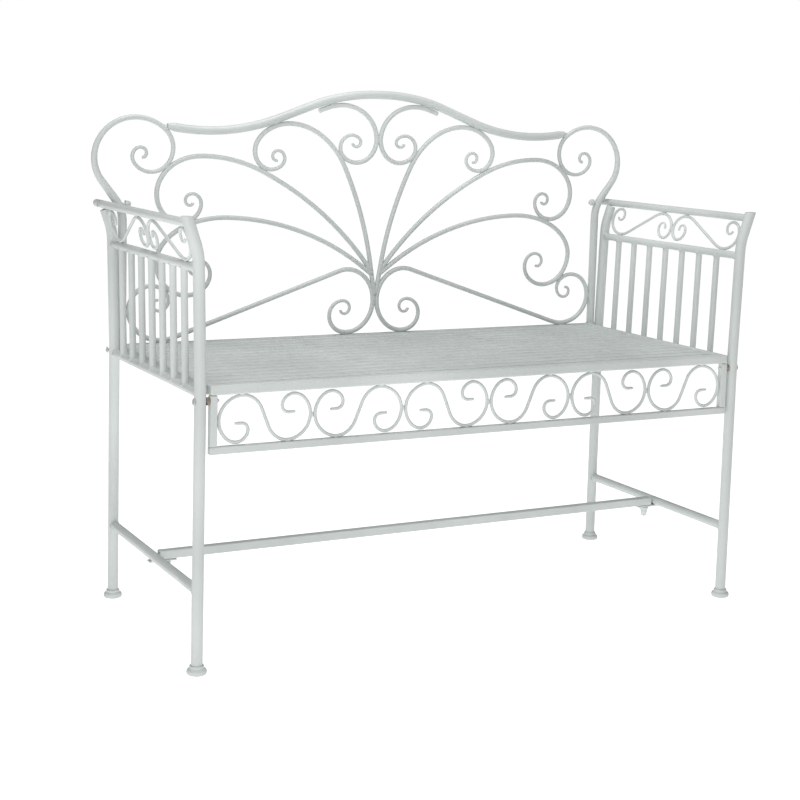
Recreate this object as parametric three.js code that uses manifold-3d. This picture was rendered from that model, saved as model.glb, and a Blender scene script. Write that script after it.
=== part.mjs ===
// Garden bench of painted steel tube and rod: two side frames, a slatted seat with a
// scrolled apron, and a backrest fan of curled rods under a wavy crown rail.
// Millimetres, X to the right, Y to the back, Z up, origin on the floor under the middle.

import * as THREE from 'three';
import { mergeVertices } from 'three/addons/utils/BufferGeometryUtils.js';
import Module from 'manifold-3d';

const wasm = await Module();
wasm.setup();

// ---------------------------------------------------------------- driving dimensions

const GAP = 0.3;                       // between two pieces that touch

const OVERALL = { depth: 500, height: 935 };
const SEAT = { width: 1020, depth: 460, top: 465 };

const LEG = { radius: 9.5, x: 525.5, frontY: -233.5, rearY: 204, leanFrom: 465, lean: 1.5, underArm: 4 };
const FLARE = { from: 655, radius: 110, turn: 17, frontTop: 727.5 };
const FOOT = { radius: 16.5, height: 15, flange: 9, shoulder: 10.5, collar: 12.5, floor: 3 };

const ARM = { radius: 7, x: 547, z: 719 };
const FRIEZE_Z = 649;
const LOWER_RAIL_Z = 452;
const BALUSTER = { radius: 5.8, count: 7, pitch: 52.8, behindFirst: 54 };
const ARM_ROD = { radius: 2.7, sides: 6 };

const STRETCHER = { radius: 8, z: 136, longSize: 15, inset: 3, y: (LEG.frontY + LEG.rearY) / 2 };
const TAB = { width: 14, thickness: 3, from: 484, to: 533 };

const BACK = { y: 213, postX: 509.3, rodRadius: 4, rodSides: 6 };
const CROWN = { radius: 8, sides: 10 };
const BOTTOM_RAIL = { size: 16, halfLength: 515.5 };

const FRAME_TUBE = 16;                 // square tube round the seat
const END_RAIL = 20;                   // front and rear rails of the seat, seen from above
const SLAT = { count: 13, gap: 7.2, thickness: 4, below: 0.4 };
const BRACE = { x: 170, width: 20, thickness: 4, let: 1 };
const LET_IN = 2;                      // how far slats and braces run into the seat's frame

const APRON = { tube: 12, bottom: 354.5, scrolls: 6, rodRadius: 2.9, rodSides: 6 };

const SEAT_FRONT = BACK.y + BOTTOM_RAIL.size / 2 - SEAT.depth;
const APRON_Y = SEAT_FRONT + APRON.tube / 2;
const SEAT_BOLT_X = 400;

const BOLT = { shank: 3, clearance: 0.5, head: 6, headHeight: 4, shoulder: 2 };
const BORE = BOLT.shank + BOLT.clearance;
const REACH = 20;                      // how far a bore's cutter runs each way
const ARM_NUT = { radius: 7.5, height: 11, rim: 0.4, shoulder: 0.8, shoulderRadius: 0.72, bore: 0.6, grip: 5 };
const STRETCHER_NUT = { radius: 8.5, height: 18, rim: 5, tipRadius: 5 };
const STUD_BELOW_TOP = 3;               // how far the stud stays under the long stretcher's top
const STRETCHER_BOLT_INSET = 16;
const SPACER_RADIUS = 6.5;
const FRONT_BOLT = { z: 440, grip: 4 };
const REAR_BOLT = { z: 456.5, length: 40 };
const SEAT_BACK_BOLT_GRIP = 16;

// How many flats stand in for a round surface.
const FLATS = { bore: 8, leg: 10, rail: 10, tube: 12, baluster: 8, bolt: 8, nut: 12, foot: 16, spacer: 6 };

const PAINT = { color: 0xd3dbd5, roughness: 0.5, metalness: 0.05 };
const ZINC = { color: 0x9a9484, roughness: 0.45, metalness: 0.7 };
const FASTENER_PAINT = { color: 0xcdd4cf, roughness: 0.45, metalness: 0.05 };
const FOOT_PLASTIC = { color: 0xc9d1cb, roughness: 0.6, metalness: 0 };

const SIDES = [['left', -1], ['right', 1]];
const [X, Y, Z] = [0, 1, 2];

// A bend is stepped in chords that cut inside it by no more than CHORD.sag and turn by no
// more than CHORD.turn degrees.
const CHORD = { sag: 1, turn: 45 };

// ---------------------------------------------------------------- bends

const rad = THREE.MathUtils.degToRad;

const line = (length) => ({ length, turn: 0 });
const arc = (radius, turn) => ({ from: radius, to: radius, turn });
const curl = (from, to, turn) => ({ from, to, turn });

function chordCount({ from, to, turn }) {
  const radius = Math.sqrt(from * to);
  const chordTurn = Math.min(rad(CHORD.turn), 2 * Math.acos(1 - CHORD.sag / radius));
  return Math.max(2, Math.ceil(rad(Math.abs(turn)) / chordTurn));
}

// Follows a list of bends from a point and heading in a flat plane. A positive turn is to
// the left. A curl's radius runs evenly from one value to the other.
function stations(start, heading, bends) {
  const points = [new THREE.Vector2(...start)];
  let angle = rad(heading);
  for (const bend of bends) {
    const last = points[points.length - 1];
    if (bend.length) {
      points.push(new THREE.Vector2(Math.cos(angle), Math.sin(angle)).multiplyScalar(bend.length).add(last));
      continue;
    }
    const steps = chordCount(bend);
    const stepAngle = rad(bend.turn) / steps;
    for (let i = 0; i < steps; i += 1) {
      const radius = bend.from * (bend.to / bend.from) ** ((i + 0.5) / steps);
      const chord = 2 * radius * Math.sin(Math.abs(stepAngle) / 2);
      const along = angle + stepAngle / 2;
      const from = points[points.length - 1];
      points.push(new THREE.Vector2(from.x + chord * Math.cos(along), from.y + chord * Math.sin(along)));
      angle += stepAngle;
    }
  }
  return points;
}

// A rod bent both ways from a middle point.
function stationsBothWays(start, heading, behind, ahead) {
  const back = stations(start, heading + 180, behind).reverse();
  return back.concat(stations(start, heading, ahead).slice(1));
}

// A curve through stations that ExtrudeGeometry steps through one by one.
class BentRod extends THREE.Curve {
  constructor(points) {
    super();
    this.points = points;
  }

  getPoint(t, target = new THREE.Vector3()) {
    const along = t * (this.points.length - 1);
    const index = Math.min(Math.floor(along), this.points.length - 2);
    return target.lerpVectors(this.points[index], this.points[index + 1], along - index);
  }

  getUtoTmapping(u) {
    return u;
  }
}

// ---------------------------------------------------------------- solids

function polygon(radius, sides) {
  const shape = new THREE.Shape();
  for (let i = 0; i < sides; i += 1) {
    const angle = Math.PI / 2 + (2 * Math.PI * (i + 0.5)) / sides;
    const x = radius * Math.cos(angle);
    const y = radius * Math.sin(angle);
    if (i === 0) shape.moveTo(x, y);
    else shape.lineTo(x, y);
  }
  shape.closePath();
  return shape;
}

// A round rod swept through 3-D points; radiusAt gives its radius along the way, 0 to 1.
function rod(points, radiusAt, sides) {
  const path = new BentRod(points);
  const steps = points.length - 1;
  const seed = 0.2;
  const geometry = new THREE.ExtrudeGeometry(polygon(seed, sides), { steps, bevelEnabled: false, extrudePath: path });
  const lengths = [0];
  points.slice(1).forEach((point, i) => lengths.push(lengths[i] + point.distanceTo(points[i])));
  const position = geometry.attributes.position;
  const vertex = new THREE.Vector3();
  for (let i = 0; i < position.count; i += 1) {
    vertex.fromBufferAttribute(position, i);
    let nearest = 0;
    points.forEach((point, k) => {
      if (point.distanceTo(vertex) < points[nearest].distanceTo(vertex)) nearest = k;
    });
    const radius = radiusAt(lengths[nearest] / lengths[steps]);
    vertex.sub(points[nearest]).multiplyScalar(radius / seed).add(points[nearest]);
    position.setXYZ(i, vertex.x, vertex.y, vertex.z);
  }
  return geometry;
}

const evenly = (radius) => () => radius;

// Corner radius of a polygon whose flats stand at the given radius.
const overFlats = (radius, sides) => radius / Math.cos(Math.PI / sides);

// A straight round bar between two points.
function bar(from, to, radius, sides = FLATS.tube) {
  return rod([new THREE.Vector3(...from), new THREE.Vector3(...to)], evenly(radius), sides);
}

function box(low, high) {
  const size = high.map((value, i) => value - low[i]);
  const middle = high.map((value, i) => (value + low[i]) / 2);
  return new THREE.BoxGeometry(...size).translate(...middle);
}

function rectangle(low, high, path) {
  path.moveTo(low[0], low[1]);
  path.lineTo(high[0], low[1]);
  path.lineTo(high[0], high[1]);
  path.lineTo(low[0], high[1]);
  path.closePath();
  return path;
}

function toManifold(geometry) {
  const bare = geometry.index ? geometry.toNonIndexed() : geometry.clone();
  bare.deleteAttribute('normal');
  bare.deleteAttribute('uv');
  const merged = mergeVertices(bare, 1e-4);
  return new wasm.Manifold(new wasm.Mesh({
    numProp: 3,
    vertProperties: new Float32Array(merged.attributes.position.array),
    triVerts: new Uint32Array(merged.index.array),
  }));
}

function toGeometry(solid) {
  const mesh = solid.getMesh();
  const geometry = new THREE.BufferGeometry();
  geometry.setAttribute('position', new THREE.BufferAttribute(new Float32Array(mesh.vertProperties), 3));
  geometry.setIndex(new THREE.BufferAttribute(new Uint32Array(mesh.triVerts), 1));
  return geometry;
}

const joined = (...pieces) => toGeometry(pieces.map(toManifold).reduce((a, b) => a.add(b)));
const cut = (piece, ...tools) => toGeometry(tools.map(toManifold).reduce((a, b) => a.subtract(b), toManifold(piece)));

// The cutter for a bolt's bore, running along one axis both ways from a point.
function boreCutter([x, y, z], axis, reach = REACH) {
  const ends = [-reach, reach].map((step) => [x, y, z].map((value, i) => value + (i === axis ? step : 0)));
  return bar(...ends, BORE, FLATS.bore);
}

// A lathe piece on +Z, from [radius, height] pairs that start and end on the axis.
function turned(profile, sides) {
  return new THREE.LatheGeometry(profile.map(([r, z]) => new THREE.Vector2(r, z)), sides).rotateX(Math.PI / 2);
}

const bench = new THREE.Group();

function add(name, geometry, paint = PAINT) {
  const mesh = new THREE.Mesh(geometry, new THREE.MeshStandardMaterial(paint));
  mesh.name = name;
  bench.add(mesh);
  return mesh;
}

// ---------------------------------------------------------------- side frames

// Outline of a leg above the floor as [x, z], measured outwards from the bench's middle.
function legOutline(top) {
  const rise = (FLARE.from - LEG.leanFrom) / Math.cos(rad(LEG.lean));
  const outline = stations([LEG.x, FOOT.floor + GAP], 90, [
    line(LEG.leanFrom - FOOT.floor - GAP),
  ]);
  const upper = stations([LEG.x, LEG.leanFrom], 90 - LEG.lean, [line(rise), arc(FLARE.radius, -FLARE.turn)]);
  const knee = upper[upper.length - 1];
  const slope = rad(90 - LEG.lean - FLARE.turn);
  upper.push(new THREE.Vector2(knee.x + (top - knee.y) / Math.tan(slope), top));
  return outline.concat(upper.slice(1));
}

// Where the middle of the leg stands at a height, as an x measured outwards.
function legX(z) {
  const outline = legOutline(FLARE.frontTop);
  const next = outline.findIndex((point) => point.y >= z);
  const [a, b] = [outline[next - 1], outline[next]];
  return THREE.MathUtils.mapLinear(z, a.y, b.y, a.x, b.x);
}

const inPlaneY = (points, side, y) => points.map((point) => new THREE.Vector3(side * point.x, y, point.y));

function leg(side, y, top, boltY, boltZ) {
  const tube = rod(inPlaneY(legOutline(top), side, y), evenly(LEG.radius), FLATS.leg);
  return cut(tube, boreCutter([side * LEG.x, boltY, boltZ], X));
}

function footCap() {
  const socket = overFlats(LEG.radius + GAP, FLATS.foot);
  return turned([
    [0, 0], [FOOT.radius, 0], [FOOT.radius, FOOT.flange], [FOOT.collar, FOOT.shoulder], [FOOT.collar, FOOT.height],
    [socket, FOOT.height], [socket, FOOT.floor], [0, FOOT.floor],
  ], FLATS.foot);
}

// Frieze rail, lower rail and balusters, welded into one grille between the legs.
function sideGrille(side) {
  const ends = [LEG.frontY + LEG.radius + GAP, LEG.rearY - LEG.radius - GAP];
  const friezeX = side * legX(FRIEZE_Z);
  const lowerX = side * LEG.x;
  const rails = [
    bar([friezeX, ends[0], FRIEZE_Z], [friezeX, ends[1], FRIEZE_Z], ARM.radius, FLATS.rail),
    bar([lowerX, ends[0], LOWER_RAIL_Z], [lowerX, ends[1], LOWER_RAIL_Z], ARM.radius, FLATS.rail),
  ];
  const balusters = Array.from({ length: BALUSTER.count }, (_, i) => {
    const y = LEG.rearY - BALUSTER.behindFirst - i * BALUSTER.pitch;
    return bar([lowerX, y, LOWER_RAIL_Z], [friezeX, y, FRIEZE_Z], BALUSTER.radius, FLATS.baluster);
  });
  return joined(...rails, ...balusters);
}

// Lays [outwards along the arm, upwards] points in the plane that leans out with the legs.
function onArmPlane(points, side) {
  const foot = new THREE.Vector3(legX(FRIEZE_Z), 0, FRIEZE_Z);
  const head = new THREE.Vector3(ARM.x, 0, ARM.z);
  const up = head.clone().sub(foot).normalize();
  return points.map((point) => {
    const place = foot.clone().addScaledVector(up, point.y);
    return new THREE.Vector3(side * place.x, point.x, place.z);
  });
}

// Bends of one scroll under an arm, from where it meets its mate at the arm's middle.
const ARM_SCROLL = {
  start: [3.5, 33.8],
  heading: 93,
  up: [curl(18, 61.6, -120), line(86), curl(67, 26, 91), curl(24, 20, 141), curl(12, 8.6, 224)],
  down: [curl(25, 15, 90), curl(25, 11, 127), curl(11, 7, 164)],
};

function armScroll(side, end) {
  const middle = (LEG.frontY + LEG.rearY) / 2;
  const { start, heading, up, down } = ARM_SCROLL;
  const points = stationsBothWays(start, heading, down, up)
    .map((point) => new THREE.Vector2(middle + end * point.x, point.y));
  return rod(onArmPlane(points, side), evenly(overFlats(ARM_ROD.radius, ARM_ROD.sides)), ARM_ROD.sides);
}

function armRail(side) {
  const x = side * ARM.x;
  const front = LEG.frontY + LEG.radius / Math.cos(rad(LEG.lean)) + GAP;
  const rear = OVERALL.depth / 2;
  const tube = bar([x, front, ARM.z], [x, rear, ARM.z], ARM.radius);
  return cut(tube, boreCutter([x, BACK.y, ARM.z], X));
}

function sideStretcher(side) {
  const x = side * LEG.x;
  const ends = [LEG.frontY + LEG.radius + GAP, LEG.rearY - LEG.radius - GAP];
  return bar([x, ends[0], STRETCHER.z], [x, ends[1], STRETCHER.z], STRETCHER.radius);
}

for (const [name, side] of SIDES) {
  add(`front_leg_${name}`, leg(side, LEG.frontY, FLARE.frontTop, APRON_Y, FRONT_BOLT.z));
  add(`rear_leg_${name}`, leg(side, LEG.rearY, ARM.z - ARM.radius - LEG.underArm, BACK.y, REAR_BOLT.z));
  add(`front_foot_cap_${name}`, footCap(), FOOT_PLASTIC).position.set(side * LEG.x, LEG.frontY, 0);
  add(`rear_foot_cap_${name}`, footCap(), FOOT_PLASTIC).position.set(side * LEG.x, LEG.rearY, 0);
  add(`arm_rail_${name}`, armRail(side));
  add(`side_grille_${name}`, sideGrille(side));
  add(`side_stretcher_${name}`, sideStretcher(side));
  add(`arm_scroll_front_${name}`, armScroll(side, -1));
  add(`arm_scroll_rear_${name}`, armScroll(side, 1));
}

// ---------------------------------------------------------------- long stretcher

const STRETCHER_BOLT_X = LEG.x - STRETCHER.radius - STRETCHER_BOLT_INSET;
const LONG_HALF = STRETCHER.longSize / 2;

// Square tube across the bench, bored from below for a stud at each end.
function longStretcher() {
  const end = LEG.x - STRETCHER.radius - STRETCHER.inset;
  const { y, z } = STRETCHER;
  const tube = box([-end, y - LONG_HALF, z - LONG_HALF], [end, y + LONG_HALF, z + LONG_HALF]);
  return cut(tube, ...[-1, 1].map((side) => {
    const x = side * STRETCHER_BOLT_X;
    return bar([x, y, z - REACH], [x, y, z + LONG_HALF - STUD_BELOW_TOP + GAP], BORE, FLATS.bore);
  }));
}

function stretcherTab(side) {
  const { y, z, radius } = STRETCHER;
  const top = z - radius - GAP;
  const ends = [side * TAB.from, side * TAB.to].sort((a, b) => a - b);
  const plate = box([ends[0], y - TAB.width / 2, top - TAB.thickness], [ends[1], y + TAB.width / 2, top]);
  return cut(plate, boreCutter([side * STRETCHER_BOLT_X, y, top], Z));
}

// Stud that comes down out of the tube through the tab, with a tapered cap nut below.
function stretcherBolt() {
  const top = LONG_HALF - STUD_BELOW_TOP;
  const nutTop = -STRETCHER.radius - TAB.thickness - 2 * GAP;
  const { radius, height, rim, tipRadius } = STRETCHER_NUT;
  return turned([
    [0, nutTop - height], [tipRadius, nutTop - height], [radius, nutTop - rim], [radius, nutTop],
    [BOLT.shank, nutTop], [BOLT.shank, top], [0, top],
  ], FLATS.bolt);
}

add('long_stretcher', longStretcher());
for (const [name, side] of SIDES) {
  add(`stretcher_tab_${name}`, stretcherTab(side));
  add(`stretcher_bolt_${name}`, stretcherBolt(), FASTENER_PAINT)
    .position.set(side * STRETCHER_BOLT_X, STRETCHER.y, STRETCHER.z);
}

// ---------------------------------------------------------------- seat

// Frame of square tube with slats across it, and two flat braces underneath, as one weldment.
function seatPanel() {
  const half = SEAT.width / 2;
  const front = SEAT_FRONT;
  const rear = BACK.y - BOTTOM_RAIL.size / 2 - GAP;
  const inner = [front + END_RAIL, rear - END_RAIL];
  const outline = rectangle([-half, front], [half, rear], new THREE.Shape());
  outline.holes.push(rectangle([-half + FRAME_TUBE, inner[0]], [half - FRAME_TUBE, inner[1]], new THREE.Path()));
  const frame = new THREE.ExtrudeGeometry(outline, { depth: FRAME_TUBE, bevelEnabled: false })
    .translate(0, 0, SEAT.top - FRAME_TUBE);
  const top = SEAT.top - SLAT.below;
  const width = (inner[1] - inner[0] - (SLAT.count + 1) * SLAT.gap) / SLAT.count;
  const slats = Array.from({ length: SLAT.count }, (_, i) => {
    const y = inner[0] + SLAT.gap + i * (width + SLAT.gap);
    return box([-half + LET_IN, y, top - SLAT.thickness], [half - LET_IN, y + width, top]);
  });
  const under = top - SLAT.thickness;
  const braces = [-1, 1].map((side) => {
    const x = side * BRACE.x;
    return box(
      [x - BRACE.width / 2, front + LET_IN, under - BRACE.thickness],
      [x + BRACE.width / 2, rear - LET_IN, under + BRACE.let],
    );
  });
  const bolts = [-1, 1].map((side) => boreCutter([side * SEAT_BOLT_X, rear, REAR_BOLT.z], Y, 2 * END_RAIL));
  return cut(joined(frame, ...slats, ...braces), ...bolts);
}

add('seat_panel', seatPanel());

// ---------------------------------------------------------------- apron

// One half of an apron scroll from its middle; the other half is the same turned half round.
const APRON_SCROLL = {
  heading: 112,
  half: [line(16), curl(42, 30, 75), curl(44, 36, 98), curl(45, 17, 96), curl(25, 9, 124), arc(12.5, 34), line(11)],
};

function apronScroll(index) {
  const opening = SEAT.width - 2 * APRON.tube;
  const pitch = opening / APRON.scrolls;
  const x = -opening / 2 + pitch * (index + 0.5);
  const z = (APRON.bottom + APRON.tube + SEAT.top - FRAME_TUBE) / 2;
  const flip = index % 2 ? -1 : 1;
  const { heading, half } = APRON_SCROLL;
  const points = stationsBothWays([0, 0], heading, half, half)
    .map((point) => new THREE.Vector3(x + flip * point.x, APRON_Y, z + point.y));
  return rod(points, evenly(overFlats(APRON.rodRadius, APRON.rodSides)), APRON.rodSides);
}

function apronUpright(side) {
  const outer = side * SEAT.width / 2;
  const inner = outer - side * APRON.tube;
  const xs = [outer, inner].sort((a, b) => a - b);
  const tube = box(
    [xs[0], SEAT_FRONT, APRON.bottom + APRON.tube + GAP],
    [xs[1], SEAT_FRONT + APRON.tube, SEAT.top - FRAME_TUBE - GAP],
  );
  return cut(tube, boreCutter([inner, APRON_Y, FRONT_BOLT.z], X));
}

add('apron_rail', box(
  [-SEAT.width / 2, SEAT_FRONT, APRON.bottom],
  [SEAT.width / 2, SEAT_FRONT + APRON.tube, APRON.bottom + APRON.tube],
));
for (const [name, side] of SIDES) add(`apron_upright_${name}`, apronUpright(side));
for (let i = 0; i < APRON.scrolls; i += 1) add(`apron_scroll_${i + 1}`, apronScroll(i));

// ---------------------------------------------------------------- backrest

// Bends of the backrest's rods, right-hand half, in its [x, z] plane.
const PETALS = {
  upper: {
    start: [5.6, 566], heading: 80.5,
    bends: [line(35.5), arc(696, -16), curl(176.9, 57, -122), curl(37, 31, -162), curl(19, 6.5, -341)],
  },
  middle: {
    start: [23, 605], heading: 51.5,
    bends: [arc(623, -26), arc(270.8, -25.9), curl(113.9, 52.2, -83), curl(59, 32.2, -176.2), curl(22.5, 5.5, -356)],
  },
  lower: {
    start: [20, 589.7], heading: 37,
    bends: [line(6), arc(496, -35), curl(247, 35.5, -92.9), curl(70, 46, -134), curl(38, 7, -351)],
  },
};
const BASE_SCROLL = {
  start: [4.3, 533.5], heading: 87,
  up: [curl(67.2, 48, -106), line(353.9), curl(75, 38.5, 174.7), curl(42, 36, 66), curl(27, 6, 341)],
  down: [curl(69, 45.9, 109.8), curl(35, 25.5, 166), curl(16.5, 7.5, 260)],
};
const CROWN_SCROLL = {
  start: [4.3, 842.5], heading: 88,
  up: [curl(55, 93.8, -103), arc(200, -7.8)],
  down: [curl(47, 37, 137.3), curl(24.5, 23.5, 177), curl(9.5, 8.5, 214)],
};
const CROWN_HALF = [curl(540, 260, -20.5), line(78), curl(412, 395, 30.88)];
const POST = {
  radius: 8,
  neckRadius: 4.4,
  tipRadius: 2.7,
  neck: [0.28, 0.62],
  sides: 8,
  upright: 223,
  kickRadius: 67,
  kick: 37.2,
  scroll: [line(42.4), curl(63.4, 87.9, 164.2), curl(48.8, 36.6, 198), curl(22, 6, 311)],
};

const onBack = (points, side) => points.map((point) => new THREE.Vector3(side * point.x, BACK.y, point.y));

const backRod = (points, side) => rod(onBack(points, side), evenly(overFlats(BACK.rodRadius, BACK.rodSides)), BACK.rodSides);
const petal = ({ start, heading, bends }, side) => backRod(stations(start, heading, bends), side);
const scrollBothWays = ({ start, heading, up, down }, side) => backRod(stationsBothWays(start, heading, down, up), side);

// Upright of the backrest, kicked out above the arm and drawn down into a scroll.
function backPost(side) {
  const bends = [line(POST.upright), arc(POST.kickRadius, -POST.kick), ...POST.scroll];
  const points = stations([BACK.postX, SEAT.top + GAP], 90, bends);
  const { lerp, smoothstep } = THREE.MathUtils;
  const radiusAt = (t) => {
    if (t > POST.neck[1]) return lerp(POST.neckRadius, POST.tipRadius, (t - POST.neck[1]) / (1 - POST.neck[1]));
    return lerp(POST.radius, POST.neckRadius, smoothstep(t, ...POST.neck));
  };
  const tube = rod(onBack(points, side), (t) => overFlats(radiusAt(t), POST.sides), POST.sides);
  return cut(tube, boreCutter([side * BACK.postX, BACK.y, ARM.z], X));
}

function crownRail() {
  const top = OVERALL.height - CROWN.radius;
  const half = (side) => stations([0, top], 0, CROWN_HALF)
    .map((point) => new THREE.Vector2(side * point.x, point.y));
  const points = half(-1).reverse().concat(half(1).slice(1));
  return rod(onBack(points, 1), evenly(overFlats(CROWN.radius, CROWN.sides)), CROWN.sides);
}

function bottomRail() {
  const low = SEAT.top - BOTTOM_RAIL.size;
  const back = BACK.y - BOTTOM_RAIL.size / 2;
  const bar = box([-BOTTOM_RAIL.halfLength, back, low], [BOTTOM_RAIL.halfLength, back + BOTTOM_RAIL.size, SEAT.top]);
  return cut(bar, ...[-1, 1].flatMap((side) => [
    boreCutter([side * BOTTOM_RAIL.halfLength, BACK.y, REAR_BOLT.z], X, 2 * REACH),
    boreCutter([side * SEAT_BOLT_X, BACK.y, REAR_BOLT.z], Y),
  ]));
}

add('crown_rail', crownRail());
add('back_bottom_rail', bottomRail());
for (const [name, side] of SIDES) {
  add(`back_post_${name}`, backPost(side));
  for (const [level, bends] of Object.entries(PETALS)) add(`petal_${level}_${name}`, petal(bends, side));
  add(`base_scroll_${name}`, scrollBothWays(BASE_SCROLL, side));
  add(`crown_scroll_${name}`, scrollBothWays(CROWN_SCROLL, side));
}

// ---------------------------------------------------------------- fasteners

// A bolt whose shank starts under its head at the origin and runs along +Z.
function bolt(length) {
  const { shank, head, headHeight, shoulder } = BOLT;
  return turned([
    [0, -headHeight], [head - shoulder, -headHeight], [head, shoulder - headHeight], [head, 0],
    [shank, 0], [shank, length], [0, length],
  ], FLATS.bolt);
}

// Domed nut with a blind bore that takes the end of a bolt.
function capNut() {
  const { radius, height, rim, shoulder, shoulderRadius, bore } = ARM_NUT;
  return turned([
    [BORE, 0], [radius, 0], [radius, height * rim], [radius * shoulderRadius, height * shoulder],
    [0, height], [0, height * bore], [BORE, height * bore], [BORE, 0],
  ], FLATS.nut);
}

// Points +Z of a mesh along the X axis, inwards from the given side of the bench.
function pointInwards(mesh, side, x, y, z) {
  mesh.rotation.y = -side * Math.PI / 2;
  mesh.position.set(x, y, z);
}

for (const [name, side] of SIDES) {
  const armHead = side * (ARM.x + ARM.radius + GAP);
  const bent = Math.asin((ARM.z - ARM_NUT.radius - SEAT.top - POST.upright) / POST.kickRadius);
  const postX = BACK.postX + POST.kickRadius * (1 - Math.cos(bent));
  const capFace = side * (postX - POST.radius / Math.cos(bent) - GAP);
  pointInwards(add(`arm_bolt_${name}`, bolt(Math.abs(armHead - capFace) + ARM_NUT.grip), FASTENER_PAINT), side, armHead, BACK.y, ARM.z);
  pointInwards(add(`arm_cap_nut_${name}`, capNut()), side, capFace, BACK.y, ARM.z);

  const legFace = side * (LEG.x + LEG.radius + GAP);
  const frontLength = LEG.x + LEG.radius + GAP - (SEAT.width / 2 - APRON.tube) + FRONT_BOLT.grip;
  pointInwards(add(`front_seat_bolt_${name}`, bolt(frontLength), FASTENER_PAINT), side, legFace, APRON_Y, FRONT_BOLT.z);
  pointInwards(add(`rear_seat_bolt_${name}`, bolt(REAR_BOLT.length), FASTENER_PAINT), side, legFace, BACK.y, REAR_BOLT.z);

  const washer = new THREE.Shape().absarc(0, 0, SPACER_RADIUS, 0, 2 * Math.PI);
  washer.holes.push(new THREE.Path().absarc(0, 0, BORE, 0, 2 * Math.PI, true));
  const depth = LEG.x - LEG.radius - SEAT.width / 2 - 2 * GAP;
  const spacer = new THREE.ExtrudeGeometry(washer, { depth, bevelEnabled: false, curveSegments: FLATS.spacer });
  pointInwards(add(`front_seat_spacer_${name}`, spacer, ZINC), side, side * (LEG.x - LEG.radius - GAP), APRON_Y, FRONT_BOLT.z);

  const seatBolt = add(`seat_back_bolt_${name}`, bolt(BOTTOM_RAIL.size + SEAT_BACK_BOLT_GRIP), FASTENER_PAINT);
  seatBolt.rotation.x = Math.PI / 2;
  seatBolt.position.set(side * SEAT_BOLT_X, BACK.y + BOTTOM_RAIL.size / 2 + GAP, REAR_BOLT.z);
}

export default bench;
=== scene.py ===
"""Garden bench of painted steel tube and bent rod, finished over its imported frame.

Every piece is set out from the frame's own nodes, in metres. Rods are bent from lists of
bends, in millimetres, in the same way as the frame's rods, only in much finer steps.
"""

import logging
import math
from dataclasses import dataclass, field
from enum import Enum
from typing import Sequence

import bmesh
import bpy
from mathutils import Matrix, Vector


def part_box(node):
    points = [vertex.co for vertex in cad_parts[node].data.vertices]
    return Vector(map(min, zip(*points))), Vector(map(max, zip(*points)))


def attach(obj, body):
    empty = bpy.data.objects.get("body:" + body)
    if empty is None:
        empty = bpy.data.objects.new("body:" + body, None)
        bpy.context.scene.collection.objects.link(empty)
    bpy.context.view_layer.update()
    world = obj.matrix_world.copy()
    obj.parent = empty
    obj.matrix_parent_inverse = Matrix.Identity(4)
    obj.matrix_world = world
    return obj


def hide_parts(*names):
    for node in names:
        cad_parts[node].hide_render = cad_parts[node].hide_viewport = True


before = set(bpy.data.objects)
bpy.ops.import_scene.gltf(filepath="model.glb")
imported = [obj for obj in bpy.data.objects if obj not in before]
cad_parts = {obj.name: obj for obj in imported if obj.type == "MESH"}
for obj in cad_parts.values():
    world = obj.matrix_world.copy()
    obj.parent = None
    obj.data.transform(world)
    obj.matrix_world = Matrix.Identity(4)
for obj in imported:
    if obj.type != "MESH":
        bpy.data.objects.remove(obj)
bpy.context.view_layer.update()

LOG = logging.getLogger("garden_bench")

MM = 0.001
BODY = "root"
SIDES = (("left", -1), ("right", 1))
X = Vector((1, 0, 0))
Y = Vector((0, 1, 0))
Z = Vector((0, 0, 1))

Mesh = bpy.types.Mesh
Material = bpy.types.Material
Node = bpy.types.Node
Socket = bpy.types.NodeSocket
Object = bpy.types.Object
Path = list[Vector]
Profile = Sequence[tuple[float, float]]


class Slot(Enum):
    """The record's material slots."""

    FRAME_PAINT = "frame_paint"
    SEAT_PAINT = "seat_paint"
    FASTENER_PAINT = "fastener_paint"
    ZINC = "zinc"
    FOOT_PLASTIC = "foot_plastic"


class End(Enum):
    """How a rod or tube stops."""

    FLAT = "flat, with its edge broken"
    DOMED = "domed"


# ---------------------------------------------------------------- bends


@dataclass(frozen=True)
class Bend:
    """One length of a rod, in millimetres and degrees; a turn to the left is positive.

    The radius of a turning bend runs evenly from one value to the other.
    """

    length: float = 0.0
    start_radius: float = 0.0
    end_radius: float = 0.0
    turn: float = 0.0


def line(length: float) -> Bend:
    """A straight length."""
    return Bend(length=length)


def arc(radius: float, turn: float) -> Bend:
    """A bend of one radius."""
    return Bend(start_radius=radius, end_radius=radius, turn=turn)


def curl(start_radius: float, end_radius: float, turn: float) -> Bend:
    """A bend that tightens or opens as it goes."""
    return Bend(start_radius=start_radius, end_radius=end_radius, turn=turn)


FINE_TURN = 7.0
FINE_SAG = 0.03
FINE_LENGTH = 12.0


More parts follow.
